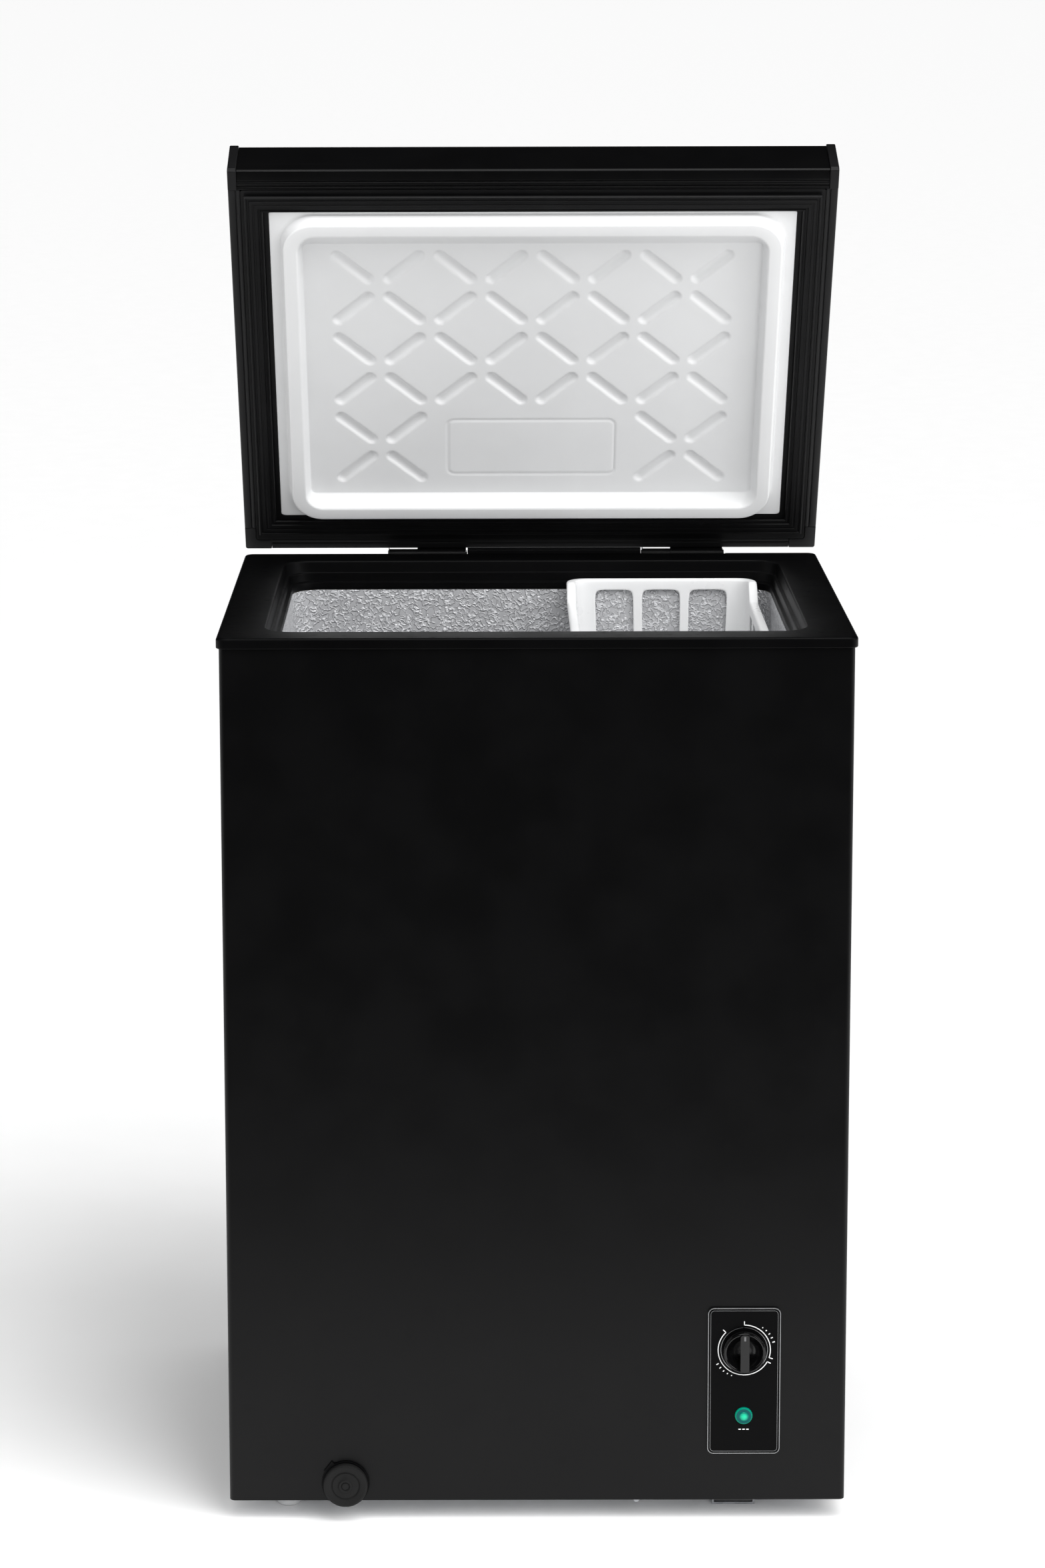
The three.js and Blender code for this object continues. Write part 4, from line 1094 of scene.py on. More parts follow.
@dataclass
class Controls:
    """The thermostat's face, its dial marks, the knob, the lamp, and the drain below."""

    body: str = "cabinet"
    line: float = 0.75 * MM
    scale_radius: float = 22.8 * MM
    mark_height: float = 0.12 * MM
    grip_half: float = 4 * MM
    arcs: tuple[tuple[float, float], ...] = ((0, 108), (118, 315))
    dot_starts: tuple[float, ...] = (38, 205)
    dot_pitch: float = 9
    dot_count: int = 5
    lamp_mark_pitch: float = 3.4 * MM

    def build(self) -> None:
        """Builds the controls and the drain."""
        self.face()
        self.scale()
        self.knob()
        self.lamp()
        self.drain()
        for node in ("thermostat_body", "thermostat_spindle"):
            keep_node(node, ZINC)
        keep_node("lamp_holder", BLACK_MOULDED)
        keep_node("drain_pipe", GREY_MOULDED)

    def ring(self, box: Box, inset: float, width: float, front: float, back: float, radius: float) -> Sheet:
        """A flat rounded frame facing forward.

        Args:
            box: what it is measured from.
            inset: how far in from the box its outer edge is.
            width: its width.
            front: the y of its face.
            back: the y behind it.
            radius: its outer corner radius.

        Returns:
            The sheet.
        """
        rows = []
        for grow, y in ((0.0, back), (0.0, front), (width, front), (width, back)):
            inward = inset + grow
            rows.append([box.x0 + inward, box.x1 - inward, box.z0 + inward, box.z1 - inward,
                         max(radius - grow, 0.2 * MM), y])
        points = rect_loops(np.array(rows), 8)
        return Sheet(points[..., [0, 2, 1]], close_rows=True)

    def face(self) -> None:
        """The black face inside a bright bezel, with a second fine line just inside it."""
        plate, bezel = box_of("control_panel"), box_of("control_bezel")
        outline = rounded_outline(plate.x0, plate.x1, plate.z0, plate.z1, 4 * MM, 8)
        face = Piece("thermostat_face", self.body, PANEL_FACE, "panel_face", ("control_panel",),
                     bevel=0.4 * MM)
        face.add(draw_out(outline, Axis.FORWARD, -plate.y1, -plate.y0)).make()
        outer = Piece("thermostat_bezel", self.body, BEZEL_METAL, "zinc_steel", ("control_bezel",),
                      bevel=0.3 * MM)
        outer.add(self.ring(bezel, 0.0, 0.8 * MM, bezel.y0, bezel.y1, 5.4 * MM)).make()
        inner = Piece("thermostat_inner_line", self.body, BEZEL_METAL, "zinc_steel")
        front, back = plate.y0 - 0.15 * MM, plate.y0 + 0.2 * MM
        inner.add(self.ring(plate, 0.9 * MM, 0.25 * MM, front, back, 3.3 * MM)).make()

    def arc(self, radius: float, width: float, start: float, end: float) -> Sheet:
        """A printed arc about the knob, from one clock angle to another in degrees.

        Args:
            radius: its middle radius.
            width: its width.
            start: the first angle, clockwise from the top.
            end: the last angle.

        Returns:
            The sheet, a thin bar bent round the arc.
        """
        stops = max(2, int(abs(end - start) / 3) + 2)
        angle = np.radians(np.linspace(start, end, stops))[:, None]
        reach = radius + np.array([-1, 1, 1, -1])[None, :] * width / 2
        x, _, z = self.centre
        y = self.front - np.array([0, 0, 1, 1])[None, :] * self.mark_height + 0 * angle
        points = np.stack([x + reach * np.sin(angle), y, z + reach * np.cos(angle)], axis=-1)
        return Sheet(points, capped=True)

    def tick(self, angle: float, start: float, end: float, width: float) -> Sheet:
        """A printed stroke that points out from the knob's middle."""
        turned = math.degrees(width / (start + end))
        return self.arc((start + end) / 2, end - start, angle - turned, angle + turned)

    @property
    def centre(self) -> Point:
        """The knob's middle."""
        return box_of("thermostat_knob").middle

    @property
    def front(self) -> float:
        """The y of the thermostat's face."""
        return box_of("control_panel").y0

    def scale(self) -> None:
        """Two arcs with end strokes, a row of growing dots beside each, and marks below the lamp."""
        r, w = self.scale_radius, self.line
        piece = Piece("dial_marks", self.body, PRINT_INK, "panel_face")
        piece.add(*(self.arc(r, w, *ends) for ends in self.arcs))
        piece.add(*(self.tick(angle, r, r + 3.4 * MM, w) for ends in self.arcs for angle in ends))
        inner = r + 2.6 * MM
        for number in range(self.dot_count):
            outer = inner + (0.9 + 0.35 * number) * MM
            for start in self.dot_starts:
                piece.add(self.tick(start + self.dot_pitch * number, inner, outer, 0.9 * MM))
        lamp = box_of("power_lamp")
        low = lamp.z0 - 5.5 * MM
        for step in (-1, 0, 1):
            middle = lamp.middle[0] + step * self.lamp_mark_pitch
            piece.add(box_sheet(middle - 1.1 * MM, middle + 1.1 * MM, self.front - self.mark_height,
                                self.front, low, low + 0.9 * MM))
        piece.make()

    def knob(self) -> None:
        """The knob: a turned bowl with a raised rim, a grip across it and a light pointer on the grip."""
        x, _, z = self.centre
        box = box_of("thermostat_knob")
        radius, base = (box.z1 - box.z0) / 2, self.front - 0.3 * MM
        body = "thermostat"
        surround = Piece("knob_surround", self.body, BEZEL_METAL, "zinc_steel")
        surround.add(self.arc(radius + 1.9 * MM, 0.4 * MM, 0, 357)).make()
        bowl = np.array([[0, 0.8], [6, 1.1], [10, 2.2], [13.4, 4.6], [16.2, 8.2], [17.4, 8.5], [18.5, 7.2],
                         [18.5, 0.0], [0, 0.0]]) * MM
        bowl[:, 0] *= radius / (18.5 * MM)
        piece = Piece("thermostat_dial", body, KNOB_PLASTIC, "knob_plastic", ("thermostat_knob",),
                      bevel=0.7 * MM, bevel_steps=3)
        piece.add(lathe(soften(bowl, 1.2 * MM, 5), Axis.FORWARD, (x, base, z), 96))
        length = radius - 1.1 * MM
        half = self.grip_half
        grip = rounded_outline(x - half, x + half, z - length, z + length, 2.2 * MM, 5)
        tip = box_of("thermostat_spindle").y0 - 0.7 * MM
        piece.add(draw_out(grip, Axis.FORWARD, -base + 0.5 * MM, -tip)).make()
        mark = Piece("dial_pointer", body, POINTER_INK, "knob_plastic", bevel=0.1 * MM)
        mark.add(box_sheet(x - 0.8 * MM, x + 0.8 * MM, tip - 0.15 * MM, tip + 0.2 * MM,
                           z + length - 5.6 * MM, z + length - 1.6 * MM)).make()

    def lamp(self) -> None:
        """The lamp: a lens turned with stepped rings, in a thin dark collar."""
        box = box_of("power_lamp")
        x, _, z = box.middle
        radius = (box.x1 - box.x0) / 2
        profile = np.array([[0, 3.9], [1.4, 3.8], [2.2, 3.3], [3.4, 3.3], [4.2, 2.5], [5.4, 2.4],
                            [6.2, 2.7], [7.2, 2.0], [7.7, 0.8], [7.7, -1.4], [0, -1.4]]) * MM
        profile[:, 0] *= radius / (7.7 * MM)
        finish = Lens("lamp_lens", (0.02, 0.34, 0.22), 0.14, 0.2, centre=(x, self.front, z), radius=radius)
        lens = Piece("lamp_dome", self.body, finish, "lamp_lens", ("power_lamp",), sharp_degrees=60)
        lens.add(lathe(soften(profile, 0.7 * MM, 4), Axis.FORWARD, (x, self.front, z), 72)).make()

    def drain(self) -> None:
        """The drain's collar, the ringed plug in front and the ribbed stopper on the well's floor."""
        formed_copy("drain_collar", self.body, BLACK_MOULDED, "black_plastic", 0.3 * MM)
        box = box_of("drain_plug")
        x, _, z = box.middle
        radius = (box.x1 - box.x0) / 2
        back = box_of("drain_collar").y0 - 0.3 * MM
        rows = np.array([[0, 5.6], [3.0, 5.5], [3.5, 4.5], [4.1, 5.8], [5.6, 6.0], [6.2, 4.6], [7.2, 4.0],
                         [11.4, 4.2], [12.0, 3.2], [12.8, 4.3], [17.4, 5.6], [19.0, 5.0], [19.5, 3.6],
                         [19.5, 0], [7.4, 0], [7.4, -4.6], [0, -4.6]]) * MM
        rows[:, 0] *= radius / (19.5 * MM)
        plug = Piece("drain_cap", "front_plug", RUBBER, "black_plastic", ("drain_plug",))
        plug.add(lathe(soften(rows, 0.7 * MM, 3), Axis.FORWARD, (x, back, z), 80)).make()
        box = box_of("drain_stopper")
        x, y, _ = box.middle
        rows = np.array([[0, 0], [12, 0], [12, 2], [9, 4], [5, 5], [5, 9], [7, 11], [5, 13], [0, 13]]) * MM
        stopper = Piece("floor_stopper", "floor_plug", GREY_MOULDED, "grey_plastic",
                        ("drain_stopper",))
        stopper.add(lathe(soften(rows, 0.8 * MM, 3), Axis.UP, (x, y, box.z0), 40)).make()


# ---------------------------------------------------------------- hinges


@dataclass
class Hinges:
    """The two hinges behind the rim, their pins and springs, and the bar between them."""

    wire: float = 0.9 * MM
    turns: float = 6.0
    bar_height: float = 11 * MM

    def build(self) -> None:
        """Builds both hinges and the bar."""
        self.bar()
        for side in ("left", "right"):
            formed_copy(f"hinge_leaf_lower_{side}", "cabinet", HINGE_PAINT, "hinge_steel", 0.3 * MM)
            formed_copy(f"hinge_leaf_upper_{side}", "lid", HINGE_PAINT, "hinge_steel", 0.3 * MM)
            self.knuckle(side)
            self.spring(side)

    def bar(self) -> None:
        """The bar between the hinges, with a lit step along its top and a skirt behind the rim."""
        box = box_of("hinge_tie_bar")
        low, step = box.z1 - self.bar_height, 1 * MM
        outline = np.array([[box.y0, low], [box.y1, low], [box.y1, box.z1], [box.y0 + step, box.z1],
                            [box.y0 + step, box.z1 - step], [box.y0, box.z1 - 2 * step]])
        piece = Piece("tie_bar", "cabinet", HINGE_PAINT, "hinge_steel", ("hinge_tie_bar",), bevel=0.25 * MM)
        piece.add(draw_out(outline, Axis.RIGHT, box.x0, box.x1)).make()

    def knuckle(self, side: str) -> None:
        """The pin with its flat heads, and a thin washer where the two leaves meet.

        Args:
            side: left or right.
        """
        pin, lower, upper = (box_of(f"{part}_{side}") for part in
                             ("hinge_pin", "hinge_leaf_lower", "hinge_leaf_upper"))
        radius, length = (pin.z1 - pin.z0) / 2, pin.x1 - pin.x0
        head = radius + 1.6 * MM
        end = np.array([[0, 0], [head, 0.2 * MM], [head, 0.9 * MM], [radius, 1 * MM]])
        rows = np.concatenate([end, [0, length] + end[::-1] * [1, -1]])
        piece = Piece(f"hinge_pin_{side}_formed", "cabinet", HINGE_PAINT, "zinc_steel",
                      (f"hinge_pin_{side}",))
        piece.add(lathe(rows, Axis.RIGHT, (pin.x0, SWING.y, SWING.z), 24)).make()
        washer = np.array([[0, -0.35], [6.6, -0.35], [6.6, 0.35], [0, 0.35]]) * MM
        rings = Piece(f"hinge_washer_{side}", "cabinet", HINGE_PAINT, "hinge_steel", bevel=0.15 * MM)
        for x in (upper.x0, max(lower.x0, pin.x0 + 1.2 * MM)):
            rings.add(lathe(washer, Axis.RIGHT, (x, SWING.y, SWING.z), 32))
        rings.make()

    def spring(self, side: str) -> None:
        """The lift spring: a round wire along a helix.

        Args:
            side: left or right.
        """
        box = box_of(f"hinge_spring_{side}")
        x, y, _ = box.middle
        radius = (box.x1 - box.x0) / 2 - self.wire
        t = np.linspace(0, 1, int(self.turns * 28))
        angle = 2 * math.pi * self.turns * t
        z = box.z0 + self.wire + t * (box.z1 - box.z0 - 2 * self.wire)
        path = np.stack([x + radius * np.cos(angle), y + radius * np.sin(angle), z], axis=-1)
        piece = Piece(f"lift_spring_{side}", "cabinet", ZINC_FINE, "zinc_steel", (f"hinge_spring_{side}",))
        piece.add(tube(path, self.wire, 10)).make()


# ---------------------------------------------------------------- lid


@dataclass
class Lid:
    """The lid: its skin, edge trims, seal, ribbed white lining and the grip along its front."""

    body: str = "lid"
    trim_wall: float = 2.2 * MM
    ridge_height: float = 15 * MM
    ridge_inset: float = 10 * MM
    ridge_front_inset: float = 3 * MM
    ridge_rear_inset: float = 3.5 * MM
    ridge_slope: float = 2.5 * MM
    ridge_width: float = 12.5 * MM
    recess_half: float = 208 * MM
    recess_front: float = 63 * MM
    recess_rear: float = 67 * MM
    rib_columns: int = 8
    rib_rows: int = 6
    rib_pitch_x: float = 46.6 * MM
    rib_pitch_u: float = 45 * MM
    rib_half_x: float = 18.2 * MM
    rib_half_u: float = 17 * MM
    rib_radius: float = 5.3 * MM
    rib_height: float = 3.2 * MM
    first_row_u: float = 98.2 * MM
    label_half: float = 78 * MM
    label_low: float = 89.5 * MM
    label_high: float = 151.7 * MM
    label_corner: float = 6 * MM
    label_line: float = 1.7 * MM
    label_depth: float = 0.9 * MM
    label_rows: int = 2
    label_side: int = 2
    panel_step: float = 1.35 * MM

    def build(self) -> None:
        """Builds every piece of the lid."""
        self.skin()
        self.trims()
        self.carrier()
        self.seal()
        self.lining()
        self.grip()
        self.foam()

    def ring(self, box: Box, rows: Sequence[tuple[float, float]], corner: float, steps: int = 3) -> Sheet:
        """A closed frame carried round a shut lid's box.

        Args:
            box: the box that the rows are measured from.
            rows: how far in from its sides, and how far down from its lowest face, in millimetres.
            corner: its corner radius where it is not set in.
            steps: how many stretches a corner has.

        Returns:
            The sheet, swung open.
        """
        sections = np.array([box.section(inset * MM, max(corner - inset * MM, 0.0), box.z1 - depth * MM)
                             for inset, depth in rows])
        return SWING.opened(Sheet(rect_loops(sections, steps), close_rows=True))

    def skin(self) -> None:
        """The painted outer pan: loops run up its edge and over a slightly crowned top."""
        box = SWING.shut_box("lid_outer_panel")
        crown, steel, bend = 0.8 * MM, 1 * MM, 2 * MM
        crest, slope = (120 * MM, box.z1 + crown), (40 * MM, box.z1 + crown / 2)
        rows = np.array([
            *(box.section(inset, bend, z - steel) for inset, z in (crest, slope)),
            box.section(steel, bend, box.z1 - steel), box.section(steel, bend, box.z0),
            box.section(0, 3 * MM, box.z0), box.section(0, 3 * MM, box.z1),
            *(box.section(inset, bend, z) for inset, z in (slope, crest)),
        ])
        points = rect_loops(soften(rows, 1.2 * MM, 3, False, (1, 5)), 4)
        piece = Piece("lid_skin", self.body, BLACK_PAINT, "cabinet_steel", ("lid_outer_panel",),
                      sharp_degrees=50)
        piece.add(SWING.opened(Sheet(points, capped=True))).make()

    def edge_profile(self, height: float) -> Array:
        """The trims' section.

        Args:
            height: the trim's height.

        Returns:
            Rows of how far in from the lid's edge and how far out from its inner face.
        """
        w, t, face = self.trim_wall / MM, height / MM, 10.7
        rows = [[0, 0.9], [0.9, 0], [6.4, 0], [6.8, 0.8], [7.8, 0.8], [8.2, 0], [face, 0], [face, w],
                [w, w], [w, t - w], [face, t - w], [face, t], [1.4, t], [0, t - 1.4], [0, 16.2],
                [0.5, 15.6], [0, 15.0]]
        return soften(np.array(rows) * MM, 0.4 * MM, 3, True)

    def trims(self) -> None:
        """The edge trims: one stepped section drawn along each side and the rear, and capped corners."""
        for side, sign in (("left", -1), ("right", 1)):
            box = SWING.shut_box(f"lid_side_trim_{side}")
            self.trim(f"lid_side_trim_{side}", Axis.FORWARD, box.x1 if sign > 0 else box.x0, -sign,
                      (-box.y1, -box.y0))
            self.corner_cap(side, sign)
        box = SWING.shut_box("lid_rear_trim")
        self.trim("lid_rear_trim", Axis.RIGHT, box.y1, -1, (box.x0, box.x1))

    def trim(self, node: str, axis: Axis, edge: float, inward: int, ends: tuple[float, float]) -> None:
        """One trim.

        Args:
            node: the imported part.
            axis: which way it runs.
            edge: where the lid's edge is across it.
            inward: minus one where inward is towards lower values, or one.
            ends: the lengths between which it is drawn.
        """
        box = SWING.shut_box(node)
        profile = self.edge_profile(box.z1 - box.z0)
        outline = np.stack([edge + inward * profile[:, 0], box.z0 + profile[:, 1]], axis=-1)
        piece = Piece(f"{node}_formed", self.body, TRIM_PLASTIC, "black_plastic", (node,))
        piece.add(SWING.opened(draw_out(outline, axis, *ends))).make()

    def corner_cap(self, side: str, sign: int) -> None:
        """A corner cap: an L with a tight outer corner and a rounded inner one, as deep as the lid.

        Args:
            side: left or right.
            sign: minus one for the left, one for the right.
        """
        node = f"lid_corner_cap_{side}"
        box = SWING.shut_box(node)
        face, outer, inner = 10.4 * MM, 2.2 * MM, 3.0 * MM
        arm = box.x1 - box.x0
        turn = np.radians(np.linspace(0, 90, 7))
        far = outer - outer * np.stack([np.cos(turn), np.sin(turn)], axis=-1)
        near = face + inner - inner * np.stack([np.sin(turn), np.cos(turn)], axis=-1)
        line = np.concatenate([[[0, arm]], far, [[arm, 0], [arm, face]], near, [[face, arm]]])
        edge = box.x1 if sign > 0 else box.x0
        outline = np.stack([edge - sign * line[:, 0], box.y1 - line[:, 1]], axis=-1)
        piece = Piece(f"{node}_formed", self.body, TRIM_PLASTIC, "black_plastic", (node,),
                      bevel=0.8 * MM)
        piece.add(SWING.opened(draw_out(outline, Axis.UP, box.z0, box.z1))).make()

    def carrier(self) -> None:
        """The flat black frame that holds the seal and the edge of the lining."""
        formed_copy("lid_gasket_frame", self.body, SEAL, "black_plastic", 0.3 * MM)

    def seal(self) -> None:
        """The seal: one grooved section carried round four straight runs with mitred corners."""
        box = SWING.shut_box("lid_gasket")
        deep = (box.z1 - box.z0) / MM
        face = ((1.2, 0), (2.4, 0.1), (3.0, 0.9), (4.4, 1.0), (4.9, 0.1), (7.2, 0), (7.7, 0.6), (9.0, 0.6),
                (9.5, 0), (12.2, 0.1), (12.8, 1.2), (14.4, 1.4), (15.1, 0.6), (16.3, 0.8), (17.0, 1.8))
        rows = [(2.4, 0.0), (0.4, 0.9), (0.0, 2.0), (0.3, 3.2), *((inset, deep - n) for inset, n in face),
                (16.7, 1.2), (14.6, 0.0)]
        piece = Piece("lid_seal", self.body, SEAL, "gasket_rubber", ("lid_gasket",))
        piece.add(self.ring(box, rows, 0.0, 1)).make()

    def lining(self) -> None:
        """The white lining: a raised frame of loops round a recessed panel with grooves in it."""
        box = SWING.shut_box("lid_inner_liner")
        plane, lid_rear = box.z1 - 1.5 * MM, SWING.shut_box("lid_rear_trim").y1
        half, near, far = box.x1, box.y0, box.y1
        recess = self.recess_half
        recess_near, recess_far = box_of("rim_collar").y0 + self.recess_front, lid_rear - self.recess_rear
        base, slope, step = half - self.ridge_inset, self.ridge_slope, 1.5 * MM
        crest, behind = plane - self.ridge_height, plane + 1.4 * MM
        base_near, base_far = near + self.ridge_front_inset, far - self.ridge_rear_inset

        def ridge(inset: float, radius: float, z: float) -> list[float]:
            """The ridge's line, set in from its foot."""
            return mirrored(base - inset, base_near + inset, base_far - inset, radius, z)

        rows = np.array([
            mirrored(half, near, far, 3 * MM, behind), mirrored(half, near, far, 3 * MM, plane),
            mirrored(base + 0.6 * MM, base_near - 0.4 * MM, base_far + 0.4 * MM, 31 * MM, plane),
            ridge(slope, 28 * MM, crest), ridge(slope + self.ridge_width, 17 * MM, crest),
            mirrored(recess, recess_near, recess_far, 5 * MM, plane),
            *(mirrored(recess - step, recess_near + step, recess_far - step, 4 * MM, z)
              for z in (plane - 0.02 * MM, behind)),
        ])
        loops = rect_loops(soften(rows, 1.7 * MM, 4, True, (1, 5)), 16)
        piece = Piece("lid_lining_frame", self.body, WHITE_SHEET, "lid_liner", ("lid_inner_liner",),
                      sharp_degrees=50)
        piece.add(SWING.opened(Sheet(loops, close_rows=True))).make()

        over = 3 * MM
        x, y = np.meshgrid(np.arange(-recess - over, recess + over, self.panel_step),
                           np.arange(recess_near - over, recess_far + over, self.panel_step))
        front = np.stack([x, y, plane + self.relief(x, lid_rear - y)], axis=-1)
        back = front[[-1, 0]].copy()
        back[..., 2] = plane + 1.5 * self.rib_height
        sheet = Sheet(np.concatenate([front, back]), close_rows=True, close_columns=False)
        panel = Piece("lid_lining_panel", self.body, WHITE_SHEET, "lid_liner", sharp_degrees=60)
        panel.add(SWING.opened(sheet)).make()

    def foam(self) -> None:
        """The foam between the lining and the skin."""
        box, pan = SWING.shut_box("lid_insulation"), SWING.shut_box("lid_outer_panel")
        piece = Piece("lid_foam", self.body, FOAM, "foam", ("lid_insulation",), bevel=1 * MM)
        behind = max(pan.z0, box.z0) + 2 * self.rib_height
        piece.add(SWING.opened(box_sheet(box.x0, box.x1, box.y0, box.y1, behind, box.z1))).make()

    def relief(self, x: Array, u: Array) -> Array:
        """How far the panel sinks in: slanted grooves with round ends, and a fine frame for a label.

        A groove is the set of places nearer to its line than its radius, as deep as a round trough is
        there. The frame is where the distance to a rounded rectangle is nearly nothing.

        Args:
            x: places across the panel.
            u: how far each place is from the lid's rear edge.

        Returns:
            The depths.
        """
        nearest = np.full(x.shape, 1.0)
        for row in range(self.rib_rows):
            middle_u = self.first_row_u + row * self.rib_pitch_u
            for column in range(self.rib_columns):
                if row < self.label_rows and self.label_side <= column < self.rib_columns - self.label_side:
                    continue
                middle_x = (column - (self.rib_columns - 1) / 2) * self.rib_pitch_x
                slant = 1 if (row + column) % 2 == 0 else -1
                away = self.rib_distance(x - middle_x, (u - middle_u) * slant)
                nearest = np.minimum(nearest, away)
        share = np.clip(1 - (nearest / self.rib_radius) ** 2, 0, 1)
        ribs = self.rib_height * share**0.75
        half_u = (self.label_high - self.label_low) / 2
        corner = self.label_corner
        dx = np.abs(x) - self.label_half + corner
        du = np.abs(u - self.label_low - half_u) - half_u + corner
        edge = np.hypot(np.maximum(dx, 0), np.maximum(du, 0)) + np.minimum(np.maximum(dx, du), 0) - corner
        line = np.clip(1 - np.abs(edge) / self.label_line, 0, 1)
        return ribs + self.label_depth * line**2 * (3 - 2 * line)

    def rib_distance(self, x: Array, u: Array) -> Array:
        """The distance from places to a groove's line, which runs up to the right through the middle.

        Args:
            x: places across the panel, from the groove's middle.
            u: places along the lid, from the groove's middle.

        Returns:
            The distances.
        """
        end = self.rib_radius * 0.85
        end_x, end_u = self.rib_half_x - end, self.rib_half_u - end
        share = np.clip((x * end_x + u * end_u) / (end_x**2 + end_u**2), -1, 1)
        return np.hypot(x - share * end_x, u - share * end_u)

    def grip(self) -> None:
        """The front profile: a leaning face, a rounded toe and two grooves under it, with capped ends."""
        box = SWING.shut_box("lid_handle_profile")
        toe = np.array([[0, 4.4], [1.3, 2.2], [9.6, 0.55], [10.2, 1.5], [11.6, 1.45], [12.1, 0.35],
                        [14.6, 0.25], [15.1, 1.3], [16.4, 1.2], [16.9, 0.05]]) * MM + [box.y0, box.z0]
        outline = np.array([[box.y0 + 5 * MM, box.z1], [box.y0 + 3.5 * MM, box.z1 - 1.5 * MM], *toe,
                            [box.y1, box.z0], [box.y1, box.z1]])
        piece = Piece("lid_grip", self.body, BLACK_EXTRUDED, "handle_plastic", ("lid_handle_profile",))
        rounded = soften(outline, 0.7 * MM, 4, True)
        piece.add(SWING.opened(draw_out(rounded, Axis.RIGHT, box.x0, box.x1, 3))).make()
        for side in ("left", "right"):
            formed_copy(f"handle_end_cap_{side}", self.body, TRIM_PLASTIC, "handle_plastic", 0.8 * MM)


# ---------------------------------------------------------------- basket


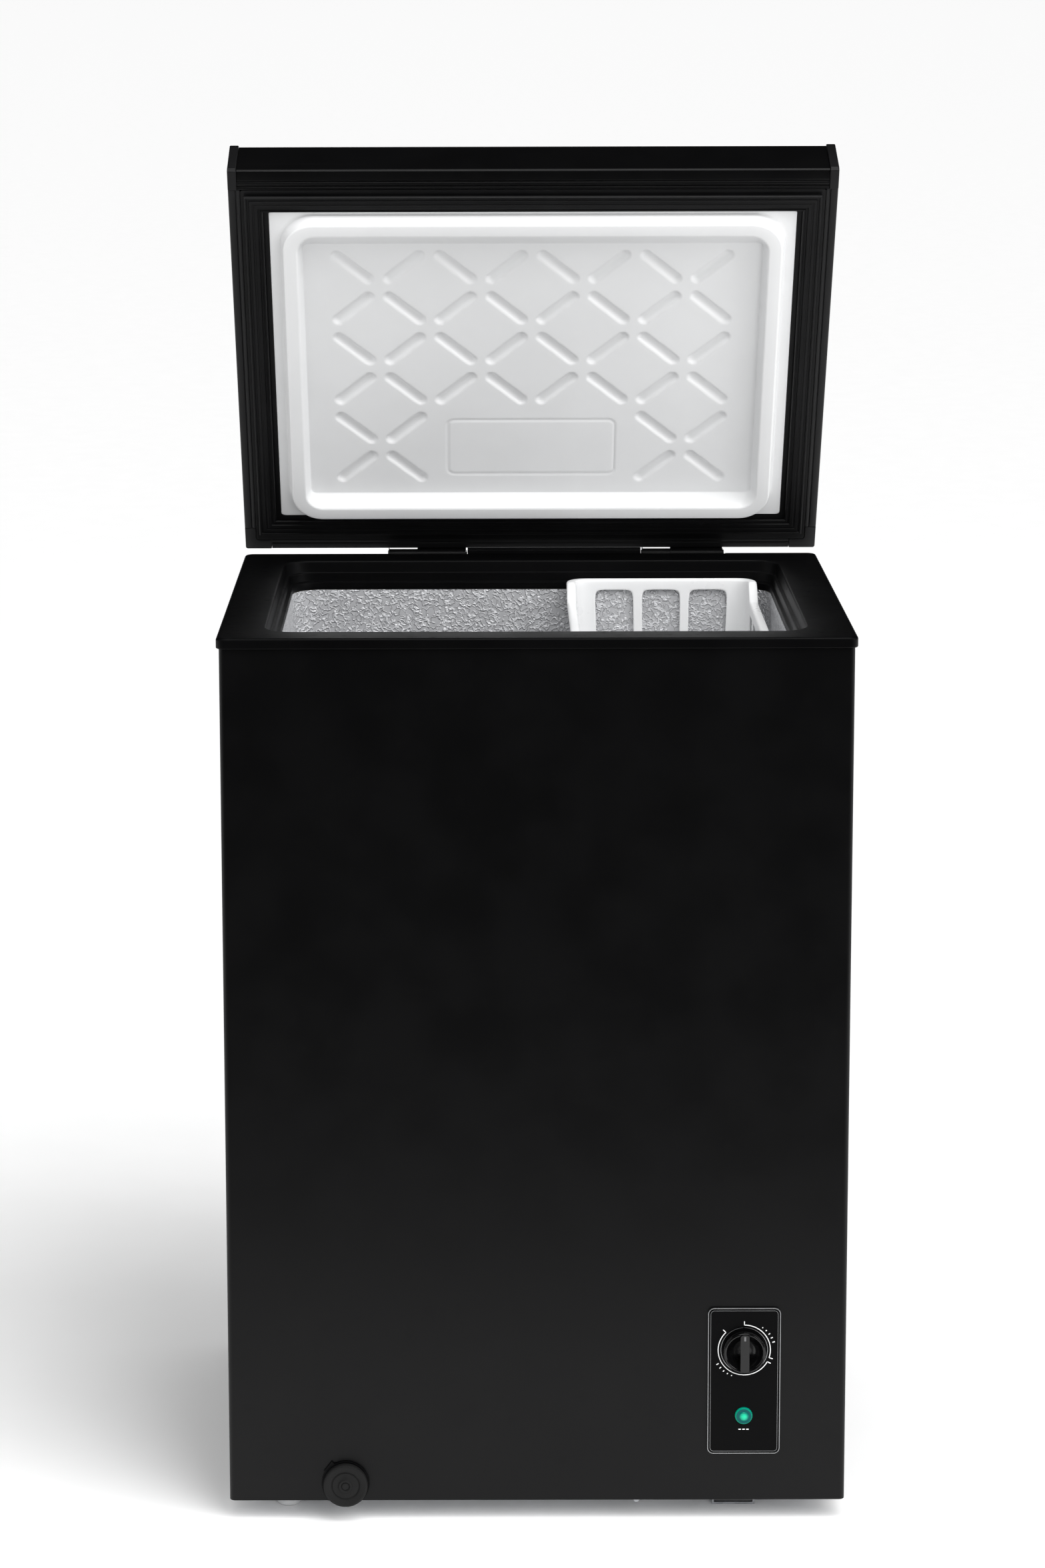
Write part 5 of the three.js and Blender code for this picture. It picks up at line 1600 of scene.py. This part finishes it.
@dataclass
class Basket:
    """The hanging basket: a tapered wall with rounded windows, a floor, and a wide turned-down flange."""

    body: str = "basket"
    wall: float = 2.2 * MM
    flange_side: float = 8.6 * MM
    flange_end: float = 7.4 * MM
    taper: float = 7 * MM
    corner: float = 13 * MM
    lip: float = 3.6 * MM
    window_drop: float = 12.5 * MM
    window_height: float = 76 * MM
    bar: float = 8.2 * MM
    end_windows: int = 3
    side_windows: int = 6
    end_spare: float = 16 * MM
    side_spare: float = 38 * MM
    round_corner: float = 11.5 * MM
    dip: float = 16 * MM
    dip_start: float = 20 * MM
    dip_slope: float = 13 * MM
    corner_steps: int = 4
    measured_loop: int = 8
    floor_slots: int = 1

    def stops(self, length: float, spare: float, count: int) -> tuple[Array, list[tuple[float, float]]]:
        """Where one side's points lie, and where its windows are.

        Args:
            length: the side's straight length.
            spare: what is left plain at each end.
            count: how many windows it has.

        Returns:
            The shares of the length at which there are points, and each window's two shares.
        """
        pitch = (length - 2 * spare + self.bar) / count
        windows = [(spare + i * pitch, spare + (i + 1) * pitch - self.bar) for i in range(count)]
        edge = self.round_corner
        places = [p for a, b in windows for p in (a - 1.5 * MM, a, a + edge, b - edge, b, b + 1.5 * MM)]
        return np.array(places) / length, [(a / length, b / length) for a, b in windows]

    def build(self) -> None:
        """Builds the basket from loops round its wall, with the cells of its windows left out."""
        box = box_of("storage_basket")
        top, low = box.z1 - self.wall, box.z0
        side, end, taper, r = self.flange_side, self.flange_end, self.taper, self.corner

        def at(grow: float, z: float, radius: float, extra_side: float = 0.0,
               extra_end: float = 0.0) -> list[float]:
            """One loop: the wall's line at a height.

            Args:
                grow: how far it is drawn out.
                z: the height that tells how far the taper sets it in.
                radius: its corner radius.
                extra_side: how much further the long sides are drawn out.
                extra_end: how much further the ends are.

            Returns:
                The loop's row for rect_loops.
            """
            set_in = taper * (top - z) / (top - low) - grow
            inset_x, inset_y = side + set_in - extra_side, end + set_in - extra_end
            return [box.x0 + inset_x, box.x1 - inset_x, box.y0 + inset_y, box.y1 - inset_y, radius, z]

        sections = [at(-60 * MM, low, 3 * MM), at(-40 * MM, low, 6 * MM), at(-14 * MM, low, 8 * MM),
                    at(-5 * MM, low, r - 3 * MM), at(0.6 * MM, low + 5 * MM, r)]
        shifts = [0.0] * len(sections)
        window_rows: list[tuple[float, float]] = []
        upper = top + self.wall - self.window_drop
        lower = upper - self.window_height - self.bar
        for high, shift in ((lower, 0.0), (upper, 1.0)):
            a, b, edge = high - self.window_height, high, self.round_corner
            sections += [at(0.0, z, r) for z in (a - 1.5 * MM, a, a + edge, b - edge, b, b + 1.5 * MM)]
            shifts += [0.0] * 3 + [shift] * 3
            window_rows.append((a, b))
        sections += [at(0, top - 1.6 * MM, r), at(1.2 * MM, top, r)]
        for extra, drop in ((0.72, 0.0), (1.0, 0.9 * MM), (1.0, self.lip)):
            sections.append([*at(0.0, top, r + 2 * MM, side * extra, end * extra)[:5], top - drop])
        shifts += [1.0] * 5
        table = np.array(sections)
        x0, x1, y0, y1 = table[self.measured_loop, :4]
        straight_x, straight_y = x1 - x0 - 2 * r, y1 - y0 - 2 * r
        ramp = np.array([self.dip_start - r, self.dip_start + self.dip_slope - r]) / straight_y
        side_stops, side_windows = self.stops(straight_y, self.side_spare - r, self.side_windows)
        end_stops, end_windows = self.stops(straight_x, self.end_spare - r + 2 * MM, self.end_windows)
        side_stops = np.concatenate([ramp, side_stops, 1 - ramp[::-1]])
        points = rect_loops(table, self.corner_steps, (side_stops, end_stops) * 2)
        corner = [("corner", 0.0)] * (self.corner_steps + 1)
        marks = [mark for kind, shares in (("side", side_stops), ("end", end_stops)) * 2
                 for mark in (*corner, *((kind, float(share)) for share in shares))]
        from_end = (box.y1 - box.y0) / 2 - np.abs(points[..., 1] - box.middle[1]) - end
        ramped = np.clip((from_end - self.dip_start) / self.dip_slope, 0, 1)
        on_side = np.array([kind == "side" for kind, _ in marks])
        points[..., 2] -= self.dip * np.array(shifts)[:, None] * ramped * on_side[None, :]
        open_columns = self.open_columns(marks, {"side": side_windows, "end": end_windows})
        middle_z = (table[:-1, 5] + table[1:, 5]) / 2
        open_rows = np.array([any(a < z < b for a, b in window_rows) for z in middle_z])
        open_rows[self.floor_slots] = True
        sheet = Sheet(points, drop=open_rows[:, None] & open_columns[None, :])
        rim_of_floor = points[0]
        centre = np.tile(rim_of_floor.mean(axis=0), (len(rim_of_floor), 1))
        cap = Sheet(np.stack([rim_of_floor, 0.5 * rim_of_floor + 0.5 * centre, centre]))
        piece = Piece("basket_moulded", self.body, WHITE_MOULDED, "basket_plastic", ("storage_basket",),
                      wall=-self.wall, subdivide=2, sharp_degrees=180)
        piece.add(sheet, cap).make()

    def open_columns(self, marks: list[tuple[str, float]],
                     windows: dict[str, list[tuple[float, float]]]) -> Array:
        """Which columns of cells lie in a window, told by the share at their middle.

        Args:
            marks: the kind of side and the share along it, for each column of points.
            windows: the windows' two shares, for each kind of side.

        Returns:
            True for each column of cells that is open where a row of windows crosses it.
        """
        found = []
        for (kind, share), (next_kind, next_share) in zip(marks, marks[1:] + marks[:1]):
            middle = (share + next_share) / 2
            found.append(kind == next_kind and any(a < middle < b for a, b in windows.get(kind, [])))
        return np.array(found)


# ---------------------------------------------------------------- studio


@dataclass
class Studio:
    """The camera, the floor and the lights."""

    eye: Point = (-0.048, -3.2669, 1.405)
    pitch: float = -8.81
    yaw: float = -0.07
    roll: float = -0.15
    lens: float = 84.2
    shift: tuple[float, float] = (0.03, -0.2)
    floor_front: float = 0.85
    floor_back: float = 60.0
    floor_half: float = 40.0
    sky_matt: float = 0.6
    sky_glossy: float = 0.01
    sky_seen: float = 1.0
    sun_power: float = 1.95
    sun_degrees: float = 50

    def build(self) -> None:
        """Builds the camera, the floor, the sky and the lights."""
        self.camera()
        self.floor()
        self.sky()
        self.lights()
        bpy.context.scene.view_settings.view_transform = "Standard"

    def camera(self) -> None:
        """The camera: level turns of yaw and pitch, then a small roll about its own line of sight."""
        yaw, pitch, roll = (math.radians(value) for value in (self.yaw, self.pitch, self.roll))
        level, rise = math.cos(pitch), math.sin(pitch)
        forward = np.array([math.sin(yaw) * level, math.cos(yaw) * level, rise])
        right = np.array([math.cos(yaw), -math.sin(yaw), 0.0])
        up = np.cross(right, forward)
        right_rolled = right * math.cos(roll) + up * math.sin(roll)
        up_rolled = up * math.cos(roll) - right * math.sin(roll)
        data = bpy.data.cameras.new("camera")
        data.lens, data.sensor_width = self.lens, 36.0
        data.shift_x, data.shift_y = self.shift
        data.clip_end = 200.0
        camera = bpy.data.objects.new("camera", data)
        bpy.context.scene.collection.objects.link(camera)
        columns = np.column_stack([right_rolled, up_rolled, -forward])
        turned = Matrix(columns.tolist()).to_4x4()
        turned.translation = self.eye
        camera.matrix_world = turned
        bpy.context.scene.camera = camera

    def floor(self) -> None:
        """A pale matt floor that ends a little in front of the freezer."""
        finish = Finish("studio_floor", (0.97, 0.97, 0.97), 0.75, 0.1, grain=4 * MM, depth=0.01 * MM,
                        mottle=0.004)
        mesh = bpy.data.meshes.new("studio_floor")
        y0, y1, w = -self.floor_front, self.floor_back, self.floor_half
        mesh.from_pydata([(-w, y0, 0), (w, y0, 0), (w, y1, 0), (-w, y1, 0)], [], [(0, 1, 2, 3)])
        mesh.materials.append(finish.material())
        floor = bpy.data.objects.new("studio_floor", mesh)
        bpy.context.scene.collection.objects.link(floor)

    def sky(self) -> None:
        """A plain white surround that lights matt faces softly and shows only dimly in glossy ones."""
        world = bpy.data.worlds.new("studio_sky")
        bpy.context.scene.world = world
        world.use_nodes = True
        tree = world.node_tree
        tree.nodes.clear()
        output = tree.nodes.new("ShaderNodeOutputWorld")
        path = tree.nodes.new("ShaderNodeLightPath")
        seen, dim = tree.nodes.new("ShaderNodeMix"), tree.nodes.new("ShaderNodeMix")
        background = tree.nodes.new("ShaderNodeBackground")
        dim.data_type = seen.data_type = "FLOAT"
        dim.inputs[2].default_value, dim.inputs[3].default_value = self.sky_matt, self.sky_glossy
        tree.links.new(path.outputs["Is Glossy Ray"], dim.inputs[0])
        tree.links.new(path.outputs["Is Camera Ray"], seen.inputs[0])
        tree.links.new(dim.outputs[0], seen.inputs[2])
        seen.inputs[3].default_value = self.sky_seen
        tree.links.new(seen.outputs[0], background.inputs["Strength"])
        background.inputs["Color"].default_value = (1, 1, 1, 1)
        tree.links.new(background.outputs[0], output.inputs["Surface"])

    def lights(self) -> None:
        """A broad soft sun for the whole floor, and soft boxes at the left, the right and low in front."""
        sun = bpy.data.lights.new("broad_sun", "SUN")
        sun.energy, sun.angle = self.sun_power, math.radians(self.sun_degrees)
        self.hang(sun, (2.4, -2.2, 4.0), (0, 0, 0.5), False)
        for name, place, target, size, power, glossy in (
            ("left_box", (-2.6, -1.0, 1.3), (0, 0, 0.85), (0.7, 2.2), 5.0, True),
            ("right_box", (2.6, -1.3, 1.7), (0, 0, 0.85), (0.6, 2.0), 14.0, True),
            ("low_box", (0.9, -2.3, 0.7), (0, 0.1, 1.0), (1.2, 0.8), 13.0, False),
            ("top_box", (0.2, -1.0, 2.7), (0, -0.1, 0.7), (1.8, 0.9), 18.0, True),
        ):
            light = bpy.data.lights.new(name, "AREA")
            light.shape, light.energy = "RECTANGLE", power
            light.size, light.size_y = size
            self.hang(light, place, target, glossy)

    def hang(self, light: bpy.types.Light, place: Point, target: Point, glossy: bool) -> None:
        """Hangs a light.

        Args:
            light: the light.
            place: where it hangs.
            target: the point that it faces.
            glossy: whether glossy faces show it.
        """
        lamp = bpy.data.objects.new(light.name, light)
        bpy.context.scene.collection.objects.link(lamp)
        lamp.location = place
        lamp.visible_glossy = glossy
        lamp.rotation_euler = (Vector(target) - Vector(place)).to_track_quat("-Z", "Y").to_euler()


# ---------------------------------------------------------------- assembly


def main() -> None:
    """Builds the studio and every part of the freezer, in order."""
    logging.basicConfig(level=logging.INFO, format="%(name)s %(message)s")
    for part in (Studio(), Cabinet(), Machinery(), Controls(), Hinges(), Lid(), Basket()):
        LOG.info("building %s", type(part).__name__)
        part.build()


if __name__ == "__main__":
    main()
